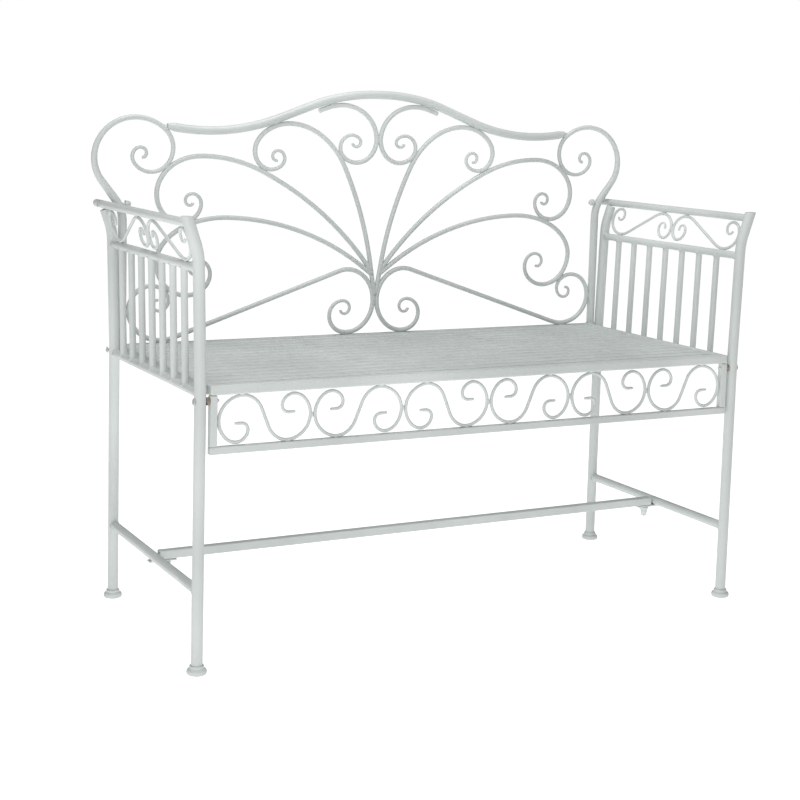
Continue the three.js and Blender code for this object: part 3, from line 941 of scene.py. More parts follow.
@dataclass
class SideFrame:
    """One side of the bench: two legs, arm, grille, stretcher and the scrolls under the arm.

    Attributes:
        name: Which side it is.
        side: -1 on the left and 1 on the right.
        leg_lean: How far the legs lean outwards above the seat, in degrees.
        flare_above_seat: The height above the seat, in millimetres, where they turn outwards.
        behind_first: How far the first baluster stands before the rear leg.
        let_in: How far from a leg's middle the rails end, as a share of its radius.
        arm_lap: How far the arm runs into the front leg.
        leg_edge: The width of the broken edge at a leg's ends.
        scroll_drawn_over: The length over which a scroll's ends are drawn down.
        thin_tip: The radius of a scroll's tip, as a share of its rod's.
        scroll_weld: The length and girth of the beads on the scrolls.
        touch_steps: The places along a rail, in millimetres, where a scroll may touch it.
    """

    name: str
    side: int
    leg_radius: float = 9.5 * MM
    leg_lean: float = 1.5
    flare_above_seat: float = 190.0
    flare: Bend = arc(110, -17)
    arm_radius: float = 7 * MM
    stretcher_radius: float = 8 * MM
    baluster_radius: float = 5.8 * MM
    baluster_count: int = 7
    baluster_pitch: float = 52.8 * MM
    behind_first: float = 54 * MM
    let_in: float = 0.9
    scroll_radius: float = 2.9 * MM
    arm_lap: float = 0.6 * MM
    leg_edge: float = 1.0 * MM
    scroll_drawn_over: float = 60 * MM
    thin_tip: float = 0.8
    scroll_weld: tuple[float, float] = (9 * MM, 1.5 * MM)
    touch_steps: range = range(-220, 200, 4)
    scroll: Scroll = Scroll(
        (3.5, 33.8), 93,
        (curl(18, 61.6, -120), line(86), curl(67, 26, 91), curl(24, 20, 141), curl(12, 8.6, 224)),
        (curl(25, 15, 90), curl(25, 11, 127), curl(11, 7, 164)),
    )

    def node(self, part: str) -> str:
        """The name of one of this side's frame nodes."""
        return f"{part}_{self.name}"

    @property
    def leg_x(self) -> float:
        """How far out the legs stand, in metres."""
        return abs(middle(self.node("front_foot_cap")).x)

    @property
    def leg_depths(self) -> tuple[float, float]:
        """Where the front and the rear leg stand in depth, in metres."""
        return middle(self.node("front_foot_cap")).y, middle(self.node("rear_foot_cap")).y

    @property
    def seat_top(self) -> float:
        """The height of the seat, in metres."""
        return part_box("seat_panel")[1].z

    def outline(self, low: float, top: float) -> list[Vector]:
        """A leg's outline from its low end to its top, as [outwards, up] in metres."""
        lean_from = self.seat_top / MM
        rise = self.flare_above_seat / math.cos(math.radians(self.leg_lean))
        lower = trace((self.leg_x / MM, low / MM), 90, [line(lean_from - low / MM)])
        heading = 90 - self.leg_lean
        upper = trace((self.leg_x / MM, lean_from), heading, [line(rise), self.flare])
        slope = math.radians(heading + self.flare.turn)
        reach = top / MM - upper[-1].y
        upper.append(upper[-1] + Vector((reach / math.tan(slope), reach)))
        return [p * MM for p in lower + upper[1:]]

    def outwards_at(self, height: float) -> float:
        """How far out the legs' middle stands at a height, in metres."""
        outline = self.outline(0.0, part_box(self.node("front_leg"))[1].z)
        for a, b in zip(outline, outline[1:]):
            if b.y >= height:
                return a.x + (b.x - a.x) * (height - a.y) / (b.y - a.y)
        return outline[-1].x

    def leg(self, end: str) -> Mesh:
        """The front or rear leg."""
        low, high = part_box(self.node(f"{end}_leg"))
        y = middle(self.node(f"{end}_foot_cap")).y
        path = [Vector((self.side * p.x, y, p.y)) for p in self.outline(low.z, high.z)]
        cut = Z if end == "front" else None
        radii = [self.leg_radius] * len(path)
        tube = Tube(path, radii, -Y * self.side, sides=28, last_cut=cut, broken_edge=self.leg_edge)
        return tube.mesh(self.node(f"{end}_leg"))

    def foot_cap(self, end: str) -> Mesh:
        """A moulded cap with a thick rounded flange and a short collar."""
        low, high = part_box(self.node(f"{end}_foot_cap"))
        place = Vector(((low.x + high.x) / 2, (low.y + high.y) / 2, 0.0))
        flange = (high.x - low.x) / 2 / MM
        height = high.z / MM
        socket = self.leg_radius / MM + 0.15
        floor = 3.0
        profile = [
            (0, 0.0), (flange - 2.2, 0.0), (flange - 0.5, 1.6), (flange, 4.2), (flange - 0.3, 7.0),
            (flange - 1.6, 9.0), (flange - 3.6, 10.0), (flange - 4.3, 11.2), (flange - 4.6, height - 0.6),
            (flange - 5.2, height), (socket, height), (socket, floor), (0, floor),
        ]
        return Turning(profile, place, Z, easing=0.9).mesh(self.node(f"{end}_foot_cap"))

    def arm_rail(self) -> Mesh:
        """The arm, butted to the front leg and domed at its rear end."""
        low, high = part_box(self.node("arm_rail"))
        centre = middle(self.node("arm_rail"))
        front = Vector((centre.x, low.y - self.arm_lap, centre.z))
        rear = Vector((centre.x, high.y - self.arm_radius * Tube.dome_depth, centre.z))
        tube = straight(front, rear, self.arm_radius, Z, sides=24, ends=(End.FLAT, End.DOMED))
        return tube.mesh(self.node("arm_rail"))

    @property
    def rail_heights(self) -> tuple[float, float]:
        """The heights of the grille's lower and upper rails."""
        low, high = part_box(self.node("side_grille"))
        return low.z + self.arm_radius, high.z - self.arm_radius

    def rail_ends(self, height: float) -> tuple[Vector, Vector]:
        """The ends of a rail between the legs at a height."""
        x = self.side * self.outwards_at(height)
        inset = self.leg_radius * self.let_in
        front, rear = self.leg_depths
        return Vector((x, front + inset, height)), Vector((x, rear - inset, height))

    def grille_rails(self) -> Mesh:
        """The grille's two rails."""
        rails = [
            straight(*self.rail_ends(height), self.arm_radius, Z, sides=24).mesh("rail")
            for height in self.rail_heights
        ]
        return joined(self.node("side_grille"), rails)

    def baluster_feet(self) -> list[float]:
        """Where the balusters stand along the side, from the rear."""
        rear = self.leg_depths[1] - self.behind_first
        return [rear - i * self.baluster_pitch for i in range(self.baluster_count)]

    @property
    def baluster_line(self) -> tuple[Vector, Vector]:
        """The foot and the head of a baluster at no depth."""
        low, high = (
            Vector((self.side * self.outwards_at(height), 0.0, height))
            for height in self.rail_heights
        )
        return low, high

    def balusters(self, material: Material) -> Mesh:
        """The row of balusters between the rails."""
        foot, head = self.baluster_line
        rig = NodeRig(self.node("balusters"))
        ends = {
            "Start": rig.size("Foot", foot, "NodeSocketVector"),
            "End": rig.size("Head", head, "NodeSocketVector"),
        }
        shaft = rig.node("GeometryNodeCurvePrimitiveLine", ends).outputs[0]
        placed = rig.row(
            rig.swept(shaft, rig.circle(20, rig.size("Radius", self.baluster_radius))),
            count=rig.size("Count", self.baluster_count, "NodeSocketInt"),
            start_location=rig.vector(y=rig.size("First", self.baluster_feet()[0])),
            offset=rig.vector(y=rig.size("Pitch", -self.baluster_pitch)),
        )
        return smooth_sides(rig.finish(placed, material, guide_line(rig.name, [])))

    def stretcher(self) -> Mesh:
        """The low rail between the legs."""
        node = self.node("side_stretcher")
        return straight(*self.rail_ends(middle(node).z), self.stretcher_radius, Z, sides=24).mesh(node)

    def scroll_path(self, end: int) -> Path:
        """The path of a scroll under the arm; end is -1 at the front and 1 at the rear."""
        arm = middle(self.node("arm_rail"))
        foot = self.baluster_line[1]
        up = (Vector((arm.x, 0.0, arm.z)) - foot).normalized()
        halfway = sum(self.leg_depths) / 2
        return [foot + up * (p.y * MM) + Y * (halfway + end * p.x * MM) for p in self.scroll.points()]

    def scroll_rod(self, end: int) -> Mesh:
        """A scroll under the arm."""
        path = self.scroll_path(end)
        up = path[0] - path[len(path) // 2]
        normal = Y.cross(Vector((up.x, 0, up.z)).normalized()).normalized()
        radii = drawn(path, self.scroll_radius, self.scroll_radius * self.thin_tip, self.scroll_drawn_over)
        return Tube(path, radii, normal, sides=14).mesh("arm_scroll")

    def welds(self, material: Material) -> Mesh:
        """The beads where this side's tubes meet."""
        seams = Seams(self.node("side_frame_welds"))
        front_leg, rear_leg = self.leg_depths
        low, high = self.rail_heights
        stretcher = middle(self.node("side_stretcher")).z
        rails = {low: self.arm_radius, high: self.arm_radius, stretcher: self.stretcher_radius}
        for height, radius in rails.items():
            for leg, branch in ((front_leg, Y), (rear_leg, -Y)):
                host = Vector((self.side * self.outwards_at(height), leg, height))
                seams.saddle(host, Z, branch, self.leg_radius, radius)
        arm = middle(self.node("arm_rail"))
        seams.saddle(Vector((arm.x, front_leg, arm.z)), Z, Y, self.leg_radius, self.arm_radius)
        foot, head = self.baluster_line
        up = (head - foot).normalized()
        for y in self.baluster_feet():
            seams.saddle(foot + Y * y, Y, up, self.arm_radius, self.baluster_radius)
            seams.saddle(head + Y * y, Y, -up, self.arm_radius, self.baluster_radius)
        front, rear = self.scroll_path(-1), self.scroll_path(1)
        arm_line, rail_line = (
            [Vector((x, y * MM, z)) for y in self.touch_steps]
            for x, z in ((arm.x, arm.z), (head.x, head.z))
        )
        touching = [(scroll, rail) for scroll in (front, rear) for rail in (arm_line, rail_line)]
        for a, b in touching + [(front, rear)]:
            seams.stitch(a, b, self.scroll_radius, *self.scroll_weld, apart=0.4)
        return seams.mesh(material)

    def build(self, shop: Workshop) -> None:
        """Makes and fits this side's pieces."""
        paint = Slot.FRAME_PAINT
        for end, hand in (("front", -1), ("rear", 1)):
            parts = (f"{end}_leg", f"{end}_foot_cap", f"arm_scroll_{end}")
            leg, cap, scroll = (self.node(part) for part in parts)
            shop.fit(leg + "_tube", self.leg(end), paint, leg)
            shop.fit(cap + "_moulding", self.foot_cap(end), Slot.FOOT_PLASTIC, cap)
            shop.fit(scroll + "_rod", self.scroll_rod(hand), paint, scroll)
        arm, grille, stretcher = (self.node(part) for part in ("arm_rail", "side_grille", "side_stretcher"))
        shop.fit(arm + "_tube", self.arm_rail(), paint, arm)
        shop.fit(grille + "_rails", self.grille_rails(), paint, grille)
        material = shop.finishes[paint]
        shop.fit(self.node("side_balusters"), self.balusters(material), paint)
        shop.fit(stretcher + "_tube", self.stretcher(), paint, stretcher)
        shop.fit(self.node("side_frame_welds"), self.welds(material), paint)


# ---------------------------------------------------------------- long stretcher


@dataclass
class LongStretcher:
    """The square tube across the bench, its end tabs, and the studs and cap nuts that hold it to them."""

    easing: float = 1.5 * MM
    tab_easing: float = 0.7 * MM
    stud_radius: float = 3.0
    nut_height: float = 18.0
    nut_radius: float = 8.5
    nut_across_flats: float = 12.6
    weld_length: float = 7.2 * MM
    weld_girth: float = 1.6 * MM

    def bolt(self, name: str) -> Mesh:
        """A stud with a flanged cap nut that tapers downwards."""
        low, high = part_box(name)
        place = Vector(((low.x + high.x) / 2, (low.y + high.y) / 2, low.z))
        whole = (high.z - low.z) / MM
        seat, rim, stud = self.nut_height, self.nut_radius, self.stud_radius
        profile = [
            (0, 0), (3.6, 0), (4.9, 0.9), (5.3, 3.0), (6.6, 9.0), (7.1, 12.4), (7.4, 13.4),
            (rim - 0.3, 13.7), (rim, 14.6), (rim, seat - 0.6), (rim - 0.6, seat),
            (stud, seat), (stud, whole), (0, whole),
        ]
        flats = self.nut_across_flats / 2
        return Turning(profile, place, Z, easing=0.5, hexagon=flats, hexagon_span=(2.0, 13.2)).mesh(name)

    def welds(self, material: Material) -> Mesh:
        """The beads where the tabs meet the side stretchers."""
        seams = Seams("stretcher_welds")
        for name, side in SIDES:
            rail = middle(f"side_stretcher_{name}")
            low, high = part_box(f"stretcher_tab_{name}")
            half = X * (side * self.weld_length / 2)
            for y in (low.y, high.y):
                centre = Vector((rail.x, y, high.z))
                seams.run(spaced(centre - half, centre + half, 8), self.weld_girth)
        return seams.mesh(material)

    def build(self, shop: Workshop) -> None:
        """Makes and fits the stretcher's pieces."""
        paint = Slot.FRAME_PAINT
        tube = eased_bars("long_stretcher", [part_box("long_stretcher")], self.easing)
        shop.fit("long_stretcher_tube", tube, paint, "long_stretcher")
        for name, _ in SIDES:
            tab = f"stretcher_tab_{name}"
            shop.fit(tab + "_plate", eased_bars(tab, [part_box(tab)], self.tab_easing), paint, tab)
            bolt = f"stretcher_bolt_{name}"
            shop.fit(bolt + "_and_nut", self.bolt(bolt), Slot.FASTENER_PAINT, bolt)
        shop.fit("stretcher_welds", self.welds(shop.finishes[paint]), paint)


# ---------------------------------------------------------------- seat


@dataclass
class Seat:
    """The slatted seat: a frame of square tube, thirteen flat slats and two braces under them.

    Attributes:
        side_tube: The height of the tubes and the width of the two short ones.
        end_rail: The width of the two long ones.
        slat_below: How far the slats lie below the frame's top.
        brace_sunk: How far the braces run into the slats.
        brace_lap: How far the braces run into the long tubes.
        rail_lap: How far the short tubes run into the long ones.
        corner_weld: The girth of a bead in an inner corner.
        under_weld: The girth of a bead across underneath.
    """

    side_tube: float = 16 * MM
    end_rail: float = 20 * MM
    slat_count: int = 13
    slat_gap: float = 7.2 * MM
    slat_thickness: float = 4 * MM
    slat_below: float = 0.4 * MM
    slat_edge: float = 1.1 * MM
    brace_x: float = 170 * MM
    brace_width: float = 20 * MM
    brace_thickness: float = 4 * MM
    brace_easing: float = 0.8 * MM
    brace_sunk: float = 0.3 * MM
    brace_lap: float = 1 * MM
    rail_lap: float = 1.5 * MM
    easing: float = 2.8 * MM
    corner_weld: float = 1.8 * MM
    under_weld: float = 1.5 * MM

    @property
    def box(self) -> tuple[Vector, Vector]:
        """The seat's lowest and highest corners at its frame of tube."""
        low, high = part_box("seat_panel")
        return Vector((low.x, low.y, high.z - self.side_tube)), high

    def tube_frame(self) -> Mesh:
        """The four tubes round the seat, the long ones running through."""
        low, high = self.box
        front = (low, Vector((high.x, low.y + self.end_rail, high.z)))
        rear = (Vector((low.x, high.y - self.end_rail, low.z)), high)
        ys = (front[1].y - self.rail_lap, rear[0].y + self.rail_lap)
        left = (Vector((low.x, ys[0], low.z)), Vector((low.x + self.side_tube, ys[1], high.z)))
        right = (Vector((high.x - self.side_tube, ys[0], low.z)), Vector((high.x, ys[1], high.z)))
        return eased_bars("seat_frame", [front, rear, left, right], self.easing)

    def slats(self, material: Material) -> Mesh:
        """The row of slats."""
        low, high = self.box
        clear = high.y - low.y - 2 * self.end_rail
        width = (clear - (self.slat_count + 1) * self.slat_gap) / self.slat_count
        half = high.x - self.side_tube / 2
        first = low.y + self.end_rail + self.slat_gap + width / 2
        height = high.z - self.slat_below - self.slat_thickness / 2
        rig = NodeRig("seat_slats")
        reach = rig.size("Half length", half)
        back = rig.node("ShaderNodeMath", {0: reach, 1: -1.0}, operation="MULTIPLY").outputs[0]
        ends = {"Start": rig.vector(x=back), "End": rig.vector(x=reach)}
        spine = rig.node("GeometryNodeCurvePrimitiveLine", ends).outputs[0]
        upright = rig.node("GeometryNodeSetCurveNormal", {"Curve": spine}, mode="Z_UP").outputs[0]
        sizes = {"Width": rig.size("Width", width), "Height": rig.size("Thickness", self.slat_thickness)}
        sheet = rig.node("GeometryNodeCurvePrimitiveQuadrilateral", sizes).outputs[0]
        edge = {"Curve": sheet, "Radius": rig.size("Edge radius", self.slat_edge), "Count": 4}
        section = rig.node("GeometryNodeFilletCurve", edge, mode="POLY").outputs[0]
        placed = rig.row(
            rig.swept(upright, section),
            count=rig.size("Count", self.slat_count, "NodeSocketInt"),
            start_location=rig.vector(y=rig.size("First", first), z=rig.size("Height", height)),
            offset=rig.vector(y=rig.size("Pitch", width + self.slat_gap)),
        )
        return rig.finish(placed, material, guide_line("seat_slats", []))

    def braces(self) -> Mesh:
        """The flat bars under the slats."""
        low, high = self.box
        half = self.brace_width / 2
        top = high.z - self.slat_below - self.slat_thickness + self.brace_sunk
        ys = (low.y + self.end_rail - self.brace_lap, high.y - self.end_rail + self.brace_lap)
        bars = []
        for _, side in SIDES:
            x = side * self.brace_x
            corner = Vector((x - half, ys[0], top - self.brace_thickness))
            bars.append((corner, Vector((x + half, ys[1], top))))
        return eased_bars("seat_braces", bars, self.brace_easing)

    def welds(self, material: Material) -> Mesh:
        """The beads in the frame's inner corners and across underneath them."""
        low, high = self.box
        seams = Seams("seat_welds")
        for _, side in SIDES:
            inner = side * (high.x - self.side_tube)
            for y in (low.y + self.end_rail, high.y - self.end_rail):
                corner = Vector((inner, y, low.z))
                top = Vector((inner, y, high.z - self.rail_lap))
                seams.run(spaced(corner, top, 8), self.corner_weld)
                seams.run(spaced(corner, corner + X * (side * self.side_tube), 8), self.under_weld)
        return seams.mesh(material)

    def build(self, shop: Workshop) -> None:
        """Makes and fits the seat's pieces."""
        paint = Slot.SEAT_PAINT
        material = shop.finishes[paint]
        shop.fit("seat_tube_frame", self.tube_frame(), paint, "seat_panel")
        shop.fit("seat_slats", self.slats(material), paint)
        shop.fit("seat_braces", self.braces(), paint)
        shop.fit("seat_welds", self.welds(material), paint)


# ---------------------------------------------------------------- apron


@dataclass
class Apron:
    """The panel of scrolls under the seat's front edge, between a rail and two uprights."""

    count: int = 6
    rod_radius: float = 2.9 * MM
    thin_tip: float = 0.8
    drawn_over: float = 12 * MM
    easing: float = 1.3 * MM
    heading: float = 112.0
    half: tuple[Bend, ...] = (
        line(16), curl(42, 30, 75), curl(44, 36, 98), curl(45, 17, 96),
        curl(25, 9, 124), arc(12.5, 34), line(11),
    )
    weld_length: float = 9.6 * MM
    weld_girth: float = 2.3 * MM
    weld_apart: float = 1.1 * MM
    stitch: tuple[float, float] = (9 * MM, 2.0 * MM)

    @property
    def opening(self) -> tuple[Vector, Vector]:
        """The opening's lowest and highest corners in the scrolls' plane."""
        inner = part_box("apron_upright_right")[0].x
        y = middle("apron_rail").y
        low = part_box("apron_rail")[1].z
        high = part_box("seat_panel")[1].z - Seat.side_tube
        return Vector((-inner, y, low)), Vector((inner, y, high))

    @property
    def centres(self) -> list[Vector]:
        """The middles of the scrolls, from left to right."""
        low, high = self.opening
        pitch = (high.x - low.x) / self.count
        return [low + Vector((pitch * (i + 0.5), 0, (high.z - low.z) / 2)) for i in range(self.count)]

    def scroll_path(self) -> Path:
        """One scroll about its own middle."""
        points = Scroll((0, 0), self.heading, self.half, self.half).points()
        return [Vector((p.x * MM, 0.0, p.y * MM)) for p in points]

    def scrolls(self, material: Material) -> Mesh:
        """The row of scrolls, every second one turned over."""
        path = self.scroll_path()
        radii = drawn(path, self.rod_radius, self.rod_radius * self.thin_tip, self.drawn_over)
        rig = NodeRig("apron_scrolls")
        sized, girth = rig.guide_curve()
        section = rig.circle(14)
        mirror = {"Geometry": sized, "Scale": (-1.0, 1.0, 1.0)}
        turned_over = rig.node("GeometryNodeTransform", mirror).outputs[0]
        count = rig.size("Scrolls each way", self.count // 2, "NodeSocketInt")
        centres = self.centres
        first = rig.size("First", centres[0], "NodeSocketVector")
        step = rig.size("Pitch", centres[1].x - centres[0].x)
        double = rig.node("ShaderNodeMath", {0: step, 1: 2.0}, operation="MULTIPLY").outputs[0]
        one_on = rig.vector(x=step)
        second = rig.node("ShaderNodeVectorMath", {0: first, 1: one_on}, operation="ADD").outputs[0]
        offset = rig.vector(x=double)
        both = rig.node("GeometryNodeJoinGeometry", {})
        for shape, start in ((sized, first), (turned_over, second)):
            row = rig.row(rig.swept(shape, section, girth), count=count, start_location=start, offset=offset)
            rig.tree.links.new(row, both.inputs[0])
        guide = guide_line("apron_scrolls", [path], [radii])
        return smooth_sides(rig.finish(both.outputs[0], material, guide))

    def welds(self, material: Material) -> Mesh:
        """The beads where the scrolls touch the rails and each other."""
        low, high = self.opening
        seams = Seams("apron_welds")
        half = X * (self.weld_length / 2)
        paths = []
        for i, centre in enumerate(self.centres):
            flip = -1 if i % 2 else 1
            paths.append([centre + Vector((flip * p.x, 0, p.z)) for p in self.scroll_path()])
        for path in paths:
            for z, pick in ((high.z, max), (low.z, min)):
                touch = pick(path, key=lambda p: p.z)
                for hand in (-1, 1):
                    bead = Vector((touch.x, touch.y + hand * self.weld_apart, z))
                    seams.run(spaced(bead - half, bead + half, seams.stitch_steps), self.weld_girth)
        for a, b in zip(paths, paths[1:]):
            seams.stitch(a, b, self.rod_radius, *self.stitch)
        return seams.mesh(material)

    def build(self, shop: Workshop) -> None:
        """Makes and fits the apron's pieces."""
        paint = Slot.FRAME_PAINT
        material = shop.finishes[paint]
        for node in ("apron_rail", "apron_upright_left", "apron_upright_right"):
            shop.fit(node + "_tube", eased_bars(node, [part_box(node)], self.easing), paint, node)
        nodes = [f"apron_scroll_{i + 1}" for i in range(self.count)]
        shop.fit("apron_scroll_row", self.scrolls(material), paint, *nodes)
        shop.fit("apron_welds", self.welds(material), paint)


# ---------------------------------------------------------------- backrest


@dataclass
class Backrest:
    """The fan of curled rods, its two posts, the wavy crown rail and the bottom rail.

    Heights in the scrolls are millimetres above the seat's top.

    Attributes:
        drawn_over: The length over which a rod's free end is drawn down to its tip.
        crown_seam: The host's and the branch's radius of the bead at the crown rail's ends.
        crown_weld: The length of the beads under the crown rail.
        foot_weld: The length and girth of the beads where the base scrolls stand on the rail.
        middle_weld: The length and girth of the beads where left and right meet.
        post_weld: The girth of the bead round a post's foot.
        touch_steps: The places along the bottom rail, in millimetres, where a scroll may touch it.
        neck: Where a post is drawn down to its neck, as shares of its length.
        post_inset: How far a post's middle stands in from the bottom rail's end.
    """

    rod_radius: float = 4.5 * MM
    tip_radius: float = 2.9 * MM
    drawn_over: float = 160 * MM
    crown_radius: float = 8 * MM
    crown_end_radius: float = 4.9 * MM
    crown_end_length: float = 13 * MM
    crown_seam: tuple[float, float] = (4.6 * MM, 4.4 * MM)
    crown_weld: float = 14 * MM
    foot_weld: tuple[float, float] = (14 * MM, 2.2 * MM)
    middle_weld: tuple[float, float] = (16 * MM, 2.1 * MM)
    post_weld: float = 1.7 * MM
    touch_steps: range = range(-500, 501, 4)
    petals: dict[str, Scroll] = field(default_factory=lambda: {
        "upper": Scroll((5.6, 101), 80.5, (
            line(35.5), arc(696, -16), curl(176.9, 57, -122), curl(37, 31, -162), curl(19, 6.5, -341),
        ), (line(24),)),
        "middle": Scroll((23, 140), 51.5, (
            arc(623, -26), arc(270.8, -25.9), curl(113.9, 52.2, -83), curl(59, 32.2, -176.2),
            curl(22.5, 5.5, -356),
        ), (line(22),)),
        "lower": Scroll((20, 124.7), 37, (
            line(6), arc(496, -35), curl(247, 35.5, -92.9), curl(70, 46, -134), curl(38, 7, -351),
        ), (line(16),)),
    })
    base_scroll: Scroll = Scroll(
        (4.3, 68.5), 87,
        (curl(67.2, 48, -106), line(353.9), curl(75, 38.5, 174.7), curl(42, 36, 66), curl(27, 6, 341)),
        (curl(69, 45.9, 109.8), curl(35, 25.5, 166), curl(16.5, 7.5, 260)),
    )
    crown_scroll: Scroll = Scroll(
        (4.3, 377.5), 88,
        (curl(55, 93.8, -103), arc(200, -7.8)),
        (curl(47, 37, 137.3), curl(24.5, 23.5, 177), curl(9.5, 8.5, 214)),
    )
    crown_half: tuple[Bend, ...] = (curl(540, 260, -20.5), line(78), curl(412, 395, 30.88), line(5.5))
    post: tuple[Bend, ...] = (
        line(223), arc(67, -37.2), line(42.4),
        curl(63.4, 87.9, 164.2), curl(48.8, 36.6, 198), curl(22, 6, 311),
    )
    post_radius: float = 8 * MM
    neck_radius: float = 5.05 * MM
    post_tip_radius: float = 3.1 * MM
    neck: tuple[float, float] = (0.28, 0.56)
    post_inset: float = 6.2 * MM
    easing: float = 1.6 * MM

    @property
    def plane(self) -> float:
        """The backrest's place in depth."""
        return middle("back_bottom_rail").y

    @property
    def seat_top(self) -> float:
        """The height that the rods' heights are taken from."""
        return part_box("back_bottom_rail")[1].z

    @property
    def post_x(self) -> float:
        """How far out the posts stand."""
        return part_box("back_bottom_rail")[1].x - self.post_inset

    def on_plane(self, points: Sequence[Vector], side: int) -> Path:
        """Points of the backrest's plane, from millimetres above the seat's top."""
        return [Vector((side * p.x * MM, self.plane, self.seat_top + p.y * MM)) for p in points]

    def rod(self, path: Path, side: int, ends: tuple[bool, bool]) -> Mesh:
        """A round rod drawn down towards its free ends."""
        radii = drawn(path, self.rod_radius, self.tip_radius, self.drawn_over, ends)
        return Tube(path, radii, -Y * side).mesh("rod")

    def post_path(self, side: int) -> Path:
        """The path of an upright and its scroll."""
        return self.on_plane(trace((self.post_x / MM, -1.0), 90, self.post), side)

    def post_rod(self, side: int) -> Mesh:
        """An upright, drawn down from its neck into the scroll."""
        path = self.post_path(side)
        along = lengths_along(path)
        neck_from, neck_to = self.neck
        radii = []
        for distance in along:
            t = distance / along[-1]
            necked = smooth_step((t - neck_from) / (neck_to - neck_from))
            late = max(0.0, (t - neck_to) / (1 - neck_to))
            radius = self.post_radius + (self.neck_radius - self.post_radius) * necked
            radii.append(radius + (self.post_tip_radius - self.neck_radius) * late)
        return Tube(path, radii, -Y * side, sides=24).mesh("post")

    def crown_path(self) -> Path:
        """The crown rail's path from left to right."""
        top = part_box("crown_rail")[1].z - self.crown_radius
        start = (0.0, (top - self.seat_top) / MM)
        half = trace(start, 0, self.crown_half)
        return self.on_plane(half, -1)[::-1] + self.on_plane(half, 1)[1:]

    def welds(self, paths: dict[str, dict[str, Path]], crown: Path, material: Material) -> Mesh:
        """The beads wherever two rods touch, front and back.

        Args:
            paths: Each side's rod paths by name.
            crown: The crown rail's path.
            material: The finish.

        Returns:
            The beads' mesh.
        """
        seams = Seams("backrest_welds")
        rail_top = [Vector((x * MM, self.plane, self.seat_top)) for x in self.touch_steps]
        for name, _ in SIDES:
            rods = paths[name]
            pairs = [
                ("petal_upper", "petal_middle"), ("petal_middle", "petal_lower"),
                ("petal_lower", "base_scroll"), ("crown_scroll", "petal_upper"),
                ("base_scroll", "back_post"), ("petal_middle", "back_post"),
            ]
            for a, b in pairs:
                seams.stitch(rods[a], rods[b], self.rod_radius)
            for rod_name in ("petal_upper", "crown_scroll"):
                seams.stitch(rods[rod_name], crown, self.rod_radius, self.crown_weld)
            end = crown[0] if name == "left" else crown[-1]
            near = min(rods["back_post"], key=lambda p: (p - end).length_squared)
            out = (near - end).normalized()
            seams.saddle(near, out.cross(Y), -out, *self.crown_seam)
            seams.stitch(rods["base_scroll"], rail_top, self.rod_radius, *self.foot_weld)
            foot = rods["back_post"][0] + Z * MM
            turns = [2 * math.pi * i / 32 for i in range(33)]
            ring = [foot + (X * math.cos(a) + Y * math.sin(a)) * self.post_radius for a in turns]
            seams.run(ring, self.post_weld, tapered=False)
        for rod_name in ("base_scroll", "crown_scroll", "petal_upper"):
            right, left = paths["right"][rod_name], paths["left"][rod_name]
            seams.stitch(right, left, self.rod_radius, *self.middle_weld)
        return seams.mesh(material)

    def build(self, shop: Workshop) -> None:
        """Makes and fits the backrest's pieces."""
        paint = Slot.FRAME_PAINT
        paths: dict[str, dict[str, Path]] = {}
        for name, side in SIDES:
            shapes = {f"petal_{level}": petal for level, petal in self.petals.items()}
            shapes |= {"base_scroll": self.base_scroll, "crown_scroll": self.crown_scroll}
            rods = {part: self.on_plane(shape.points(), side) for part, shape in shapes.items()}
            for part, path in rods.items():
                free = (not part.startswith("petal"), part != "crown_scroll")
                node = f"{part}_{name}"
                shop.fit(node + "_rod", self.rod(path, side, free), paint, node)
            rods["back_post"] = self.post_path(side)
            shop.fit(f"back_post_{name}_upright", self.post_rod(side), paint, f"back_post_{name}")
            paths[name] = rods
        crown = self.crown_path()
        radii = drawn(crown, self.crown_radius, self.crown_end_radius, self.crown_end_length)
        shop.fit("crown_rail_tube", Tube(crown, radii, -Y, sides=28).mesh("crown_rail"), paint, "crown_rail")
        bar = eased_bars("back_bottom_rail", [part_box("back_bottom_rail")], self.easing)
        shop.fit("back_bottom_rail_tube", bar, paint, "back_bottom_rail")
        shop.fit("backrest_welds", self.welds(paths, crown, shop.finishes[paint]), paint)


# ---------------------------------------------------------------- fasteners


